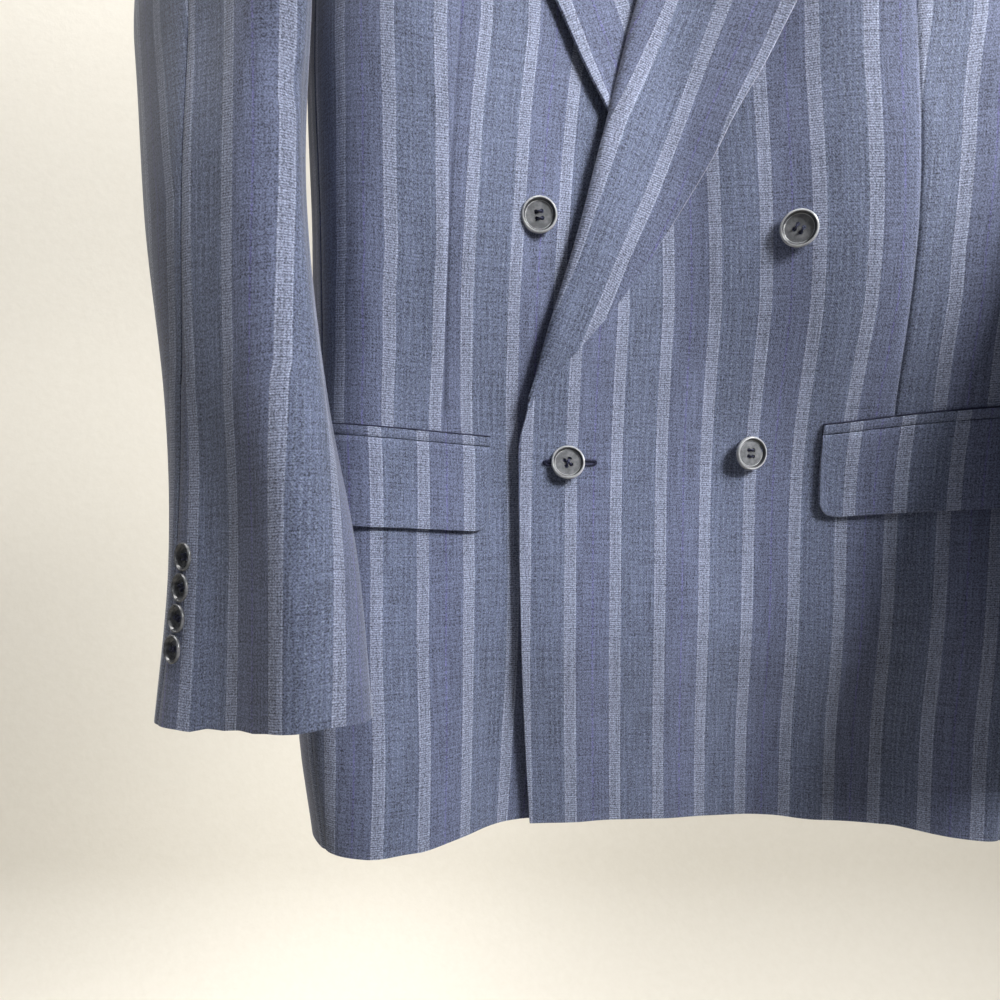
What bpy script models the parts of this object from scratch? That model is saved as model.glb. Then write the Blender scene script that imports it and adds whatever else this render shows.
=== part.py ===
"""A double breasted blazer of striped wool, hung by a plain hanger.

Lengths in the tables are millimetres and angles are degrees. X runs across the garment
from its centre front, Y runs back towards the wall and Z runs up. The origin is the
point of the hook that bears on the rail. Left and right are the wearer's, so the left
front, which laps over the right one, lies at +X.
"""

import math

import bpy
import numpy as np
from mathutils import Vector
from mathutils.bvhtree import BVHTree

MM = 0.001

# Cloth and seams
CLOTH = 2.0
SEAM = 0.3
HEM_HEIGHT = -850.0
CHEST_HEIGHT = -240.0
SLOPE_FROM = -400.0

# Shoulders: the seam falls from the neck point to the shoulder point
NECK_HALF = 78.0
NECK_HEIGHT = -86.0
SHOULDER_HALF = 240.0
SHOULDER_FALL = 0.2727
SHOULDER_DEPTH = 0.0
SHOULDER_ROUND = 110.0
SHOULDER_EDGE = 0.93

# Columns round the body, as fractions of its half width, from the centre front by the
# front seam (5), the side (6) and the back seam (7) to the centre back (10)
COLUMN_WIDTH = (0.0, 0.22, 0.45, 0.66, 0.82, 0.93, 1.0, 0.93, 0.74, 0.40, 0.0)
FRONT_SEAM, SIDE, BACK_SEAM, CENTRE_BACK = 5, 6, 7, 10

# Sections of the body: depth of each column on the wearer's right (r), at the centre
# front (c), on the wearer's left (l), then side (s) and back (b), which are alike
BODY_COLUMNS = "height half r5 r4 r3 r2 r1 c l1 l2 l3 l4 l5 s b7 b8 b9 b10"
BODY = (
    (-850, 211.5, -80, -88, -77, -46, -40, -33, -28, -31, -42, -62, -66, -45, 8, 34, 40, 38),
    (-790, 219.5, -80, -88, -77, -50, -45, -38, -34, -38, -50, -66, -70, -45, 7, 34, 40, 38),
    (-740, 221, -78, -86, -75, -57, -52, -46, -44, -48, -60, -72, -72, -44, 6, 34, 40, 38),
    (-625, 214, -78, -88, -77, -62, -55, -51, -51, -58, -74, -84, -78, -42, 5, 30, 36, 36),
    (-500, 211, -92, -114, -113, -98, -82, -76, -86, -102, -112, -112, -92, -43, 8, 33, 38, 38),
    (-400, 214, -93, -120, -124, -105, -88, -80, -92, -112, -120, -118, -93, -42, 14, 36, 40, 39),
    (-300, 210, -90, -114, -119, -104, -88, -82, -90, -106, -119, -114, -90, -38, 20, 38, 41, 40),
    (-240, 206, -86, -102, -104, -94, -84, -80, -84, -94, -104, -102, -86, -34, 24, 38, 41, 39),
)

# Fronts: edges that swing back to the hem from under the roll lines, and then the neck
EDGE_HALF, EDGE_SWING = 87.6, 0.000117
ROLL = ((-590, -82), (-551, -68), (-508, -54), (-454, -40), (-380, -21), (-304, 3), (-240, 26), (-178, 47))
NECKLINE = ((-178, 47), (-150, 56), (-120, 69), (-86, 78))
OVERLAP_RAISE = 7.3
OVERLAP_EDGE_HALF, OVERLAP_OUT_HALF = 88.0, 150.0
OVERLAP_TOP, OVERLAP_OUT = -330.0, -250.0

# Armholes
ARMPIT_LEVEL = -306.0
ARMPIT_DIP = 26.0

# Back neck
NAPE_ROW = 1.46

# Sleeves: an oval at each height, its longer axis turned so that its outer end lies back
SLEEVE_COLUMNS = "height x y long short turn hind fore"
SLEEVE = (
    (-760, 217, -124, 57, 30, 12, 0.080, 0.58),
    (-680, 218.5, -121, 51.5, 32, 22, 0.105, 0.59),
    (-600, 228.5, -117, 51.5, 34, 44, 0.150, 0.60),
    (-500, 242, -111, 60, 34, 49, 0.215, 0.62),
    (-400, 247, -104, 68, 33, 43, 0.235, 0.62),
)
SLEEVE_SQUARE = 2.3
CUFF_TILT = 0.03
CUFF_TILT_FROM = -640.0
HEAD_HEIGHT = -400.0
CUFF_HEIGHT = -760.0
HEAD_TWIST = 0.17
SLEEVE_SET = 1.2
SLEEVE_COLUMN_COUNT, TOP_SLEEVE_CLOSER = 15, 1.25
ARMHOLE_HIND, ARMHOLE_FORE = -0.12, 0.46

# Lapels: the edge from the foot of the roll to the peak, then the gorge
LAPEL_FOOT, LAPEL_TOP = -588.0, -178.0
LAPEL_EDGE = (
    (-586, -77), (-571, -59), (-550, -40), (-528, -18), (-502, 3),
    (-443, 34), (-381, 67), (-310, 106), (-250, 138), (-190, 158),
)
LAPEL_THICK, LAPEL_STAND = 2.2, 1.4
LAPEL_SHARES = (0.15, 0.3, 0.45, 0.58, 0.72, 0.86, 1.0)
NOTCH_PLACE, NOTCH_DIP, NOTCH_FROM = 0.58, 31.0, 0.7
# The roll: across from the roll line and out from the front, for each face of the lapel
ROLL_OUTER = ((-3.2, -1.8), (-3.2, 0.6), (-2.1, 2.6), (1.5, 3.4))
ROLL_INNER = ((-1.0, -1.8), (-1.0, -0.2), (-0.5, 0.8), (1.5, 1.2))

# Collar: stations from the gorge to the centre back, on the front as far as the shoulder
# and then on the back. Each has the x of the neck seam, the (x, height) of the outer edge,
# how high the stand rises, which way is out and up, and where its foot stands on the seam.
COLLAR_COLUMNS = "neck_x outer_x outer_z rise out_x out_y up_y up_z inset lift behind"
COLLAR = (
    (47.5, 127, -194, 3, 1.0, 0.0, -1.0, 0.0, 2.8, -1.0, 0),
    (56, 121, -168, 5, 1.0, 0.0, -1.0, 0.2, 2.8, -0.8, 0),
    (69, 116, -134, 9, 1.0, 0.0, -0.8, 0.6, 2.8, -0.6, 0),
    (76, 118, -105, 13, 1.0, 0.0, -0.4, 0.9, 2.8, -0.3, 0),
    (78, 116, -97, 17, 1.0, 0.1, -0.1, 1.0, 2.8, 0.0, 0),
    (74, 108, -101, 21, 0.85, 0.5, 0.0, 1.0, 2.8, 0.2, 1),
    (56, 80, -107, 26, 0.6, 0.8, 0.0, 1.0, 2.2, 0.7, 1),
    (28, 42, -112, 29, 0.3, 0.95, 0.0, 1.0, 1.5, 1.0, 1),
    (0, 0, -116, 30, 0.0, 1.0, 0.0, 1.0, 1.2, 1.0, 1),
)
COLLAR_STAND = 1.2
GORGE_END, GORGE_SHARE = (109.0, -213.2), 0.72
COLLAR_THICK = 2.2

# Pockets: side, whose, where the front end of the jet lies and its height there
POCKETS = ((1, "left", 93.0, -604.0), (-1, "right", -103.0, -613.0))
POCKET_LENGTH, POCKET_RISE = 140.0, 6.0
JET_HEIGHT, JET_STAND, JET_THICK = 5.4, 0.5, 1.2
FLAP_HEIGHT, FLAP_CORNER, FLAP_STAND, FLAP_THICK = 50.0, 9.0, 0.6, 2.0
FLAP_ROWS = np.array([1.0, 0.82, 0.6, 0.3, 0.0])
CORNER_SHARES = np.array([0.0, 0.12, 0.4, 1.0])

# Buttons: name, place across and height, and the front it is sewn to
FRONT_BUTTONS = (
    ("upper_right_button", -76.0, -493.5, "right"),
    ("upper_left_button", 67.2, -502.0, "left"),
    ("lower_right_button", -58.0, -627.0, "left"),
    ("lower_left_button", 52.3, -620.5, "left"),
)
FRONT_BUTTON, CUFF_BUTTON, BUTTON_SEAT = 20.0, 14.2, 0.4
FRONT_SIDES, CUFF_SIDES = 20, 14
CUFF_BUTTON_TOP, CUFF_BUTTON_STEP, CUFF_BUTTON_SHARE = -677.5, 14.8, 0.033
# Radius and height of the turned outline, as shares of the button's radius
BUTTON_PROFILE = (
    (0, 0.17), (0.5, 0.17), (0.64, 0.3), (0.8, 0.36), (0.95, 0.3),
    (1.0, 0.18), (0.86, 0.03), (0.6, 0), (0, 0),
)

# Hanger
HANGER_HALF, HANGER_THICK, HANGER_MIDDLE, HANGER_END = 205.0, 10.0, 30.0, 18.0
HANGER_BEND, HANGER_CLEAR = 30.0, 2.0
HOOK_WIRE, HOOK_RADIUS = 4.0, 20.0
HOOK_CENTRE = HOOK_WIRE / 2 - HOOK_RADIUS


def table(columns, rows):
    """Columns of a section table by name."""
    values = np.array(rows, float).T
    return dict(zip(columns.split(), values))


def smooth(knots, values, at):
    """A smooth curve through values at rising knots, read at any places."""
    knots, values = np.asarray(knots, float), np.asarray(values, float)
    slopes = np.gradient(values, knots, axis=0)
    at = np.asarray(at, float)
    i = np.clip(np.searchsorted(knots, at, side="right") - 1, 0, len(knots) - 2)
    span = knots[i + 1] - knots[i]
    t = np.clip((at - knots[i]) / span, 0.0, 1.0)
    if values.ndim > 1:
        t, span = t[..., None], span[..., None]
    return (
        (2 * t**3 - 3 * t**2 + 1) * values[i]
        + (t**3 - 2 * t**2 + t) * span * slopes[i]
        + (3 * t**2 - 2 * t**3) * values[i + 1]
        + (t**3 - t**2) * span * slopes[i + 1]
    )


def ease(x):
    """0 below 0, 1 above 1, smooth between."""
    x = np.clip(x, 0.0, 1.0)
    return x * x * (3 - 2 * x)


BODY_TABLE = table(BODY_COLUMNS, BODY)
RING_FRONT = ("r5", "r4", "r3", "r2", "r1", "c", "l1", "l2", "l3", "l4", "l5")
RING_SIDE = ("s", "b7", "b8", "b9")


def ring_depths(level):
    """Depths of the 21 columns from the centre back round the right side, front and left."""
    rows = BODY_TABLE["height"]
    back = [smooth(rows, BODY_TABLE[k], level) for k in RING_SIDE]
    middle = smooth(rows, BODY_TABLE["b10"], level)
    front = [smooth(rows, BODY_TABLE[k], level) for k in RING_FRONT]
    return np.stack([middle, *back[::-1], *front, *back, middle], axis=-1)


def ring_at(values, column):
    """Reads a ring of 21 columns, -10 to 10, at a signed column."""
    around = np.concatenate([values[..., -3:-1], values, values[..., 1:3]], axis=-1)
    place = column + CENTRE_BACK + 2
    i = np.clip(np.floor(place).astype(int), 1, around.shape[-1] - 3)
    t = place - i
    take = lambda k: np.take_along_axis(around, (i + k)[..., None], axis=-1)[..., 0]
    a, b, c, d = take(-1), take(0), take(1), take(2)
    return b + 0.5 * t * (c - a + t * (2 * a - 5 * b + 4 * c - d + t * (3 * (b - c) + d - a)))


WIDTH_RING = np.array([-w for w in COLUMN_WIDTH[:0:-1]] + list(COLUMN_WIDTH))


def shoulder_top(x):
    """Height of the shoulder seam line over a place across."""
    return NECK_HEIGHT - (np.abs(x) - NECK_HALF) * SHOULDER_FALL


def body(column, row):
    """A point of the outer cloth: column -10 to 10, row 0 at the hem, 1 at the chest, 2 at the seam."""
    column, row = np.broadcast_arrays(np.asarray(column, float), np.asarray(row, float))
    level = HEM_HEIGHT + np.clip(row, 0, 1) * (CHEST_HEIGHT - HEM_HEIGHT)
    turn = np.clip(row - 1, 0, 1) * math.pi / 2
    depths = ring_depths(level)
    half = smooth(BODY_TABLE["height"], BODY_TABLE["half"], level)
    top_half = SHOULDER_HALF / SHOULDER_EDGE
    half = half + (top_half - half) * np.sin(turn) ** 2
    x = ring_at(np.broadcast_to(WIDTH_RING, depths.shape), column) * half
    y = ring_at(depths, column)
    y = SHOULDER_DEPTH + (y - SHOULDER_DEPTH) * np.cos(turn)
    round_foot = shoulder_top(x) - SHOULDER_ROUND
    lift = (round_foot - CHEST_HEIGHT) * ease((level - SLOPE_FROM) / (CHEST_HEIGHT - SLOPE_FROM))
    z = level + lift + SHOULDER_ROUND * np.sin(turn)
    return np.stack([x, y, z], axis=-1)


def unit(v):
    return v / np.maximum(np.linalg.norm(v, axis=-1, keepdims=True), 1e-9)


def body_out(column, row):
    """The outward direction of the body's cloth."""
    step = 0.02
    across = body(column + step, row) - body(column - step, row)
    up = body(column, np.minimum(row + step / 8, 1.995)) - body(column, row - step / 8)
    return unit(np.cross(across, up))


def body_row(height):
    """The row whose level is a height below the shoulder's round."""
    return (height - HEM_HEIGHT) / (CHEST_HEIGHT - HEM_HEIGHT)


def column_for(row, wanted_x):
    """The front column at which a row reaches the x that wanted_x gives for a height."""
    row = np.asarray(row, float)
    low, high = np.full(row.shape, -4.9), np.full(row.shape, 4.9)
    for _ in range(40):
        mid = (low + high) / 2
        p = body(mid, row)
        short = p[..., 0] < wanted_x(p[..., 2])
        low, high = np.where(short, mid, low), np.where(short, high, mid)
    return (low + high) / 2


def front_edge(z):
    """The left front's inner edge: its x at a height. The right front's is the mirror."""
    roll_z, roll_x = np.array(ROLL, float).T
    neck_z, neck_x = np.array(NECKLINE, float).T
    below = np.maximum(roll_z[0] - z, 0)
    foot = roll_x[0] - (EDGE_HALF + roll_x[0]) * ease(below / 30.0) + EDGE_SWING * below**2
    x = np.where(z < roll_z[0], foot, smooth(roll_z, roll_x, z))
    return np.where(z > neck_z[0], np.interp(z, neck_z, neck_x), x)


def overlap(p):
    """How far the left front stands off the form, over the right front and its lapel."""
    across = 1 - ease((p[..., 0] - OVERLAP_EDGE_HALF) / (OVERLAP_OUT_HALF - OVERLAP_EDGE_HALF))
    up = 1 - ease((p[..., 2] - OVERLAP_TOP) / (OVERLAP_OUT - OVERLAP_TOP))
    return OVERLAP_RAISE * across * up


def raised(column, row, height, lap=False):
    """A point of the body moved out by a height, over the overlap where lap is set."""
    p = body(column, row)
    if lap:
        height = height + overlap(p)
    return p + body_out(column, row) * np.asarray(height)[..., None]


def column_behind(row, half):
    """The back column at which a row reaches a distance from the centre back."""
    row = np.asarray(row, float)
    low, high = np.full(row.shape, float(BACK_SEAM)), np.full(row.shape, float(CENTRE_BACK))
    for _ in range(40):
        mid = (low + high) / 2
        wide = body(mid, row)[..., 0] > half
        low, high = np.where(wide, mid, low), np.where(wide, high, mid)
    return (low + high) / 2


def place(x, z, behind=False):
    """The column and row of the body at an x and height, on the front or the back."""
    x, z = np.broadcast_arrays(np.asarray(x, float), np.asarray(z, float))
    row = np.clip(body_row(z), 0, 1.0)
    for _ in range(30):
        column = column_behind(row, x) if behind else column_for(row, lambda _: x)
        miss = z - body(column, row)[..., 2]
        steep = np.where(row < 1, CHEST_HEIGHT - HEM_HEIGHT, SHOULDER_ROUND * math.pi / 2)
        row = np.clip(row + miss / steep, 0, 1.99)
    return column, row


def armhole(share):
    """The wearer's right armhole, 0 at the shoulder and on by the front and the armpit."""
    rows = np.linspace(2.0, body_row(ARMPIT_LEVEL), 60)
    under = np.linspace(0, math.pi, 40)
    front = body(-float(FRONT_SEAM), rows)
    arc_columns = -(SIDE - np.cos(under))
    arc_rows = body_row(ARMPIT_LEVEL - ARMPIT_DIP * np.sin(under))
    back = body(-float(BACK_SEAM), rows[::-1])
    line = np.concatenate([front, body(arc_columns, arc_rows)[1:-1], back])
    along = np.concatenate([[0], np.cumsum(np.linalg.norm(np.diff(line, axis=0), axis=1))])
    at = np.mod(share, 1.0) * along[-1]
    return np.stack([np.interp(at, along, line[:, k]) for k in range(3)], axis=-1)


SLEEVE_TABLE = table(SLEEVE_COLUMNS, SLEEVE)


def sleeve_value(name, height):
    return smooth(SLEEVE_TABLE["height"], SLEEVE_TABLE[name], height)


def arm(share, height):
    """The wearer's right sleeve below its head: share 0 at its outer line, rising by the front."""
    share, height = np.broadcast_arrays(np.asarray(share, float), np.asarray(height, float))
    x, y = -sleeve_value("x", height), sleeve_value("y", height)
    long, short = sleeve_value("long", height), sleeve_value("short", height)
    turn = np.radians(sleeve_value("turn", height))
    start = np.arctan2(short * np.sin(turn), long * np.cos(turn))
    angle = start + 2 * math.pi * share
    power = 2 / SLEEVE_SQUARE
    u = long * np.sign(np.cos(angle)) * np.abs(np.cos(angle)) ** power
    v = short * np.sign(np.sin(angle)) * np.abs(np.sin(angle)) ** power
    px = x - u * np.cos(turn) - v * np.sin(turn)
    py = y + u * np.sin(turn) - v * np.cos(turn)
    tilt = CUFF_TILT * ease((CUFF_TILT_FROM - height) / (CUFF_TILT_FROM - CUFF_HEIGHT))
    return np.stack([px, py, height + tilt * (px - x)], axis=-1)


def sleeve(share, along):
    """The wearer's right sleeve: along 0 at the armhole, 1 under the head, 2 at the cuff."""
    share, along = np.broadcast_arrays(np.asarray(share, float), np.asarray(along, float))
    low = np.clip(along - 1, 0, 1)
    lower = arm(share + HEAD_TWIST, HEAD_HEIGHT + low * (CUFF_HEIGHT - HEAD_HEIGHT))
    t = np.clip(along, 0, 1)[..., None]
    start = armhole(share) + np.array([-SLEEVE_SET, 0, 0])
    end = arm(share + HEAD_TWIST, HEAD_HEIGHT)
    top = (1 + np.cos(2 * math.pi * share)) / 2
    reach = np.linalg.norm(end - start, axis=-1, keepdims=True)
    out = unit(np.stack([-0.2 - 0.8 * top, 0 * top, -1 + 0.8 * top], axis=-1)) * reach
    down = unit(arm(share + HEAD_TWIST, HEAD_HEIGHT - 5) - end) * reach
    head = (
        (2 * t**3 - 3 * t**2 + 1) * start
        + (t**3 - 2 * t**2 + t) * out
        + (3 * t**2 - 2 * t**3) * end
        + (t**3 - t**2) * down
    )
    return np.where(t < 1, head, lower)


def sleeve_out(share, along):
    """The outward direction of the sleeve's cloth."""
    across = sleeve(share + 0.01, along) - sleeve(share - 0.01, along)
    down = sleeve(share, np.minimum(along + 0.01, 2)) - sleeve(share, np.maximum(along - 0.01, 0))
    return unit(np.cross(down, across))


def seam_share(along, armhole_share, name):
    """Where a sleeve seam runs, as a share round the sleeve."""
    low = np.clip(np.asarray(along, float) - 1, 0, 1)
    lower = sleeve_value(name, HEAD_HEIGHT + low * (CUFF_HEIGHT - HEAD_HEIGHT)) - HEAD_TWIST
    start = sleeve_value(name, HEAD_HEIGHT) - HEAD_TWIST
    return np.where(along < 1, armhole_share + (start - armhole_share) * ease(along), lower)


def material(name, colour, rough, metal=0.0):
    """A plain Principled finish."""
    finish = bpy.data.materials.new(name)
    finish.use_nodes = True
    shader = finish.node_tree.nodes["Principled BSDF"]
    shader.inputs["Base Color"].default_value = (*colour, 1.0)
    shader.inputs["Roughness"].default_value = rough
    shader.inputs["Metallic"].default_value = metal
    finish.diffuse_color = (*colour, 1.0)
    return finish


def keep(name, mesh, finish, group):
    """Makes a mesh an object with its own material, smooth but for its sharp edges."""
    mesh.materials.append(material(name, *finish))
    mesh.shade_smooth()
    mesh.set_sharp_from_angle(angle=math.radians(40))
    piece = bpy.data.objects.new(name, mesh)
    group.objects.link(piece)
    return piece


def wall(name, outer, inner, finish, group, flip=False):
    """A cloth wall between two like grids of points, closed round its four edges."""
    rows, columns = outer.shape[:2]
    points = np.concatenate([outer.reshape(-1, 3), inner.reshape(-1, 3)]) * MM
    far = rows * columns
    at = lambda i, j: i * columns + j
    turned = lambda face: [face[0], *face[:0:-1]]
    faces = []
    for i in range(rows - 1):
        for j in range(columns - 1):
            quad = [at(i, j), at(i, j + 1), at(i + 1, j + 1), at(i + 1, j)]
            faces += [quad, [k + far for k in turned(quad)]]
    rim = [at(0, j) for j in range(columns)] + [at(i, columns - 1) for i in range(1, rows)]
    rim += [at(rows - 1, j) for j in range(columns - 2, -1, -1)] + [at(i, 0) for i in range(rows - 2, 0, -1)]
    for a, b in zip(rim, rim[1:] + rim[:1]):
        faces.append([b, a, a + far, b + far])
    if flip:
        faces = [turned(f) for f in faces]
    mesh = bpy.data.meshes.new(name)
    mesh.from_pydata(points.tolist(), [], faces)
    mesh.validate()
    return keep(name, mesh, finish, group)


WOOL = ((0.19, 0.21, 0.27), 0.85)
HORN = ((0.10, 0.11, 0.13), 0.3)
WOOD = ((0.45, 0.28, 0.15), 0.45)
STEEL = ((0.75, 0.75, 0.76), 0.25, 1.0)

# How far off the cloth a piece starts when it is laid on it
REACH = 15.0

FRONT_COLUMNS, SIDE_COLUMNS = 16, 9
COLUMN_GAP = SEAM / 2 / 45
SHOULDER_GAP = SEAM / 2 / 110

# Rows of the panels: alike up to the armpit, so that their seams meet, and finer over the shoulder
LOW_ROWS = np.linspace(0, body_row(ARMPIT_LEVEL), 13)


def panel(name, first, last, rows, count, group, lap=False):
    """A body panel between two column limits given for each row."""
    share = np.linspace(0, 1, count)
    columns = first[:, None] + (last - first)[:, None] * share
    across = np.broadcast_to(rows[:, None], columns.shape)
    outer = raised(columns, across, 0.0, lap)
    inner = raised(columns, across, -CLOTH, lap)
    return wall(name, outer, inner, WOOL, group)


def side_columns(count):
    """Columns of a side panel, closest at its two seams."""
    return SIDE - np.cos(np.linspace(0, math.pi, count)) * (1 - COLUMN_GAP)


def make_fronts(group):
    rows = np.concatenate([LOW_ROWS, [0.945, 1.0, 1.22, 1.42, 1.6, 1.76, 1.9, 2 - SHOULDER_GAP]])
    seam = np.full(rows.shape, FRONT_SEAM - COLUMN_GAP)
    left = column_for(rows, front_edge)
    right = column_for(rows, lambda z: -front_edge(z))
    return {
        "left": panel("left_front", left, seam, rows, FRONT_COLUMNS, group, lap=True),
        "right": panel("right_front", -seam, right, rows, FRONT_COLUMNS, group),
    }


def make_side_panel(name, side, group):
    """The side body under an arm, its top edge the foot of the armhole."""
    turn = np.linspace(0, math.pi, SIDE_COLUMNS)
    top = body_row(ARMPIT_LEVEL - ARMPIT_DIP * np.sin(turn))
    rows = np.linspace(0, 1, len(LOW_ROWS))[:, None] * top
    columns = np.broadcast_to(side_columns(SIDE_COLUMNS), rows.shape) * side
    outer, inner = raised(columns, rows, 0.0), raised(columns, rows, -CLOTH)
    return wall(name, outer, inner, WOOL, group, flip=side < 0)


def make_backs(group):
    above = NAPE_ROW + (2 - SHOULDER_GAP * 2 - NAPE_ROW) * np.array([0.03, 0.1, 0.22, 0.4, 0.62, 0.82, 1.0])
    rows = np.concatenate([LOW_ROWS, [0.945, 1.0, 1.16, 1.32, NAPE_ROW], above])
    neck = 1 - ((2 - rows) / (2 - NAPE_ROW)) ** 2
    half = NECK_HALF * np.sqrt(np.clip(neck, 0, 1))
    middle = np.where(rows > NAPE_ROW, column_behind(rows, half), CENTRE_BACK)
    middle = np.minimum(middle, CENTRE_BACK - SEAM / 2 / 80)
    seam = np.full(rows.shape, BACK_SEAM + COLUMN_GAP)
    panel("left_back", seam, middle, rows, 9, group)
    panel("right_back", -middle, -seam, rows, 9, group)


def make_sleeves(group):
    """Two-piece sleeves: the top sleeve runs over the front from the hind to the fore seam."""
    along = np.concatenate([np.linspace(0, 1, 13), np.linspace(1, 2, 8)[1:]])
    hind = seam_share(along, ARMHOLE_HIND, "hind")
    fore = seam_share(along, ARMHOLE_FORE, "fore")
    gap = SEAM / 330
    spread = np.linspace(0, 1, SLEEVE_COLUMN_COUNT)
    halves = (
        ("top", hind + gap, fore - gap, spread**TOP_SLEEVE_CLOSER),
        ("under", fore + gap, hind + 1 - gap, spread),
    )
    for kind, first, last, across in halves:
        share = first[:, None] + (last - first)[:, None] * across
        down = np.broadcast_to(along[:, None], share.shape)
        outer = sleeve(share, down)
        inner = outer - CLOTH * sleeve_out(share, down)
        right = wall(f"right_{kind}_sleeve", outer, inner, WOOL, group, flip=True)
        other = np.array([-1, 1, 1])
        wall(f"left_{kind}_sleeve", outer * other, inner * other, WOOL, group)
        if kind == "top":
            top_sleeve = right
    return top_sleeve


def lapel_grid():
    """The wearer's left lapel flat on the picture: x, height and the way across, per row."""
    t = np.linspace(0, 1, 17)
    roll_z = LAPEL_FOOT + (LAPEL_TOP - LAPEL_FOOT) * t
    roll = np.stack([front_edge(roll_z), roll_z], axis=-1)
    edge_x = np.array(LAPEL_EDGE, float)[:, 1]
    edge_z = np.array(LAPEL_EDGE, float)[:, 0]
    z = edge_z[0] + (edge_z[-1] - edge_z[0]) * t
    edge = np.stack([np.interp(z, edge_z, edge_x), z], axis=-1)
    return t, roll, edge


def make_lapel(name, side, group):
    t, roll, edge = lapel_grid()
    width = np.linalg.norm(edge - roll, axis=-1)
    way = (edge - roll) / width[:, None]
    faces = []
    for curl, height in ((ROLL_OUTER, LAPEL_STAND + LAPEL_THICK), (ROLL_INNER, LAPEL_STAND)):
        curl = np.array(curl, float)
        share = np.array(LAPEL_SHARES)
        span = np.maximum(width, 8.0)[:, None]
        across = np.concatenate(
            [np.broadcast_to(curl[:, 0], (len(t), len(curl))), curl[-1, 0] + (span - curl[-1, 0]) * share],
            axis=1,
        )
        out = np.concatenate([curl[:, 1], np.full(len(share), height)])
        flat = roll[:, None] + way[:, None] * across[..., None]
        place_across = across / span
        slope = np.where(place_across < NOTCH_PLACE, NOTCH_PLACE, 1 - NOTCH_PLACE)
        dip = 1 - np.abs(place_across - NOTCH_PLACE) / slope
        flat[..., 1] -= NOTCH_DIP * np.clip(dip, 0, 1) * ease((t - NOTCH_FROM) / (1 - NOTCH_FROM))[:, None]
        column, row = place(flat[..., 0], flat[..., 1])
        faces.append(raised(side * column, row, np.broadcast_to(out, column.shape), lap=side > 0))
    wall(name, faces[0], faces[1], WOOL, group, flip=side < 0)


def clear_of(points, gap):
    """Moves points out of the body until they stand a gap off its fronts, shoulders and back."""
    columns, rows = np.meshgrid(np.linspace(-10, 10, 161), np.linspace(0.8, 1.98, 60))
    cloth, out = body(columns, rows).reshape(-1, 3), body_out(columns, rows).reshape(-1, 3)
    moved = points.reshape(-1, 3).copy()
    for _ in range(3):
        for k, p in enumerate(moved):
            near = np.argmin(((cloth - p) ** 2).sum(axis=1))
            stand = (p - cloth[near]) @ out[near]
            if stand < gap:
                moved[k] = p + out[near] * (gap - stand)
    return moved.reshape(points.shape)


COLLAR_TABLE = table(COLLAR_COLUMNS, COLLAR)


def make_collar(group):
    """Stand and fall in one wall: up from the neck seam, over the fold and down to the edge."""
    t = COLLAR_TABLE
    behind = t["behind"][:, None] > 0
    neck_z, neck_x = np.array(NECKLINE, float).T
    neck_row = 2 - (2 - NAPE_ROW) * np.sqrt(1 - np.clip(t["neck_x"] / NECK_HALF, 0, 1) ** 2)
    stand = np.full(neck_row.shape, COLLAR_THICK + COLLAR_STAND)
    front_foot = raised(*place(t["neck_x"], np.interp(t["neck_x"], neck_x, neck_z)), 0.0 * neck_row)
    back_foot = raised(column_behind(neck_row, t["neck_x"]), neck_row, 0.0 * neck_row)
    foot = np.where(behind, back_foot, front_foot)
    front_edge_line = raised(*place(t["outer_x"], t["outer_z"]), stand)
    back_edge_line = raised(*place(t["outer_x"], t["outer_z"], behind=True), stand)
    edge = np.where(behind, back_edge_line, front_edge_line)
    out = unit(np.stack([t["out_x"], t["out_y"], 0 * t["out_x"]], axis=-1))
    up = unit(np.stack([0 * t["up_y"], t["up_y"], t["up_z"]], axis=-1))
    rise = t["rise"][:, None]
    foot = foot - out * t["inset"][:, None] + up * t["lift"][:, None]
    fold = [foot, foot + up * rise * 0.6, foot + up * rise]
    fold += [fold[-1] + up * 1.6 + out * 2.8, fold[-1] + out * 6.4]
    gorge = raised(*place(*GORGE_END), np.array(COLLAR_THICK + COLLAR_STAND))
    for share in (0.2, 0.45, GORGE_SHARE, 1.0):
        bulge = 3.0 * math.sin(math.pi * share)
        fall = fold[4] + (edge - fold[4]) * share + (out * 0.7 + up) * bulge
        if share <= GORGE_SHARE:
            fall[0] = fold[4][0] + (gorge - fold[4][0]) * share / GORGE_SHARE
        fold.append(fall)
    half = np.stack(fold, axis=1)
    stations = np.arange(len(COLLAR))
    fine = np.linspace(0, len(COLLAR) - 1, 2 * len(COLLAR) - 1)
    half = smooth(stations, half.reshape(len(COLLAR), -1), fine).reshape(len(fine), -1, 3)
    other = half[-2::-1] * np.array([-1, 1, 1])
    grid = np.concatenate([half, other])
    grid[:, 5:] = clear_of(grid[:, 5:], COLLAR_THICK + COLLAR_STAND)
    along, across = np.gradient(grid, axis=0), np.gradient(grid, axis=1)
    inner = grid - COLLAR_THICK * unit(np.cross(across, along))
    inner[:, 5:] = clear_of(inner[:, 5:], SEAM * 2)
    wall("collar", grid, inner, WOOL, group)


def cloth_tree(*pieces):
    """The faces of built pieces, to lay others on."""
    points, faces = [], []
    for piece in pieces:
        first = len(points)
        points += [v.co / MM for v in piece.data.vertices]
        faces += [[first + k for k in face.vertices] for face in piece.data.polygons]
    return BVHTree.FromPolygons(points, faces)


def laid(tree, points, out, height):
    """Points let down onto the cloth along a direction, then stood off it by a height."""
    points, out = np.broadcast_arrays(points, out)
    landed = []
    for p, way in zip(points.reshape(-1, 3), out.reshape(-1, 3)):
        hit = tree.ray_cast(Vector(p + way * REACH), Vector(-way), 2 * REACH)[0]
        landed.append(p if hit is None else np.array(hit))
    return np.array(landed).reshape(points.shape) + out * height


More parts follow.
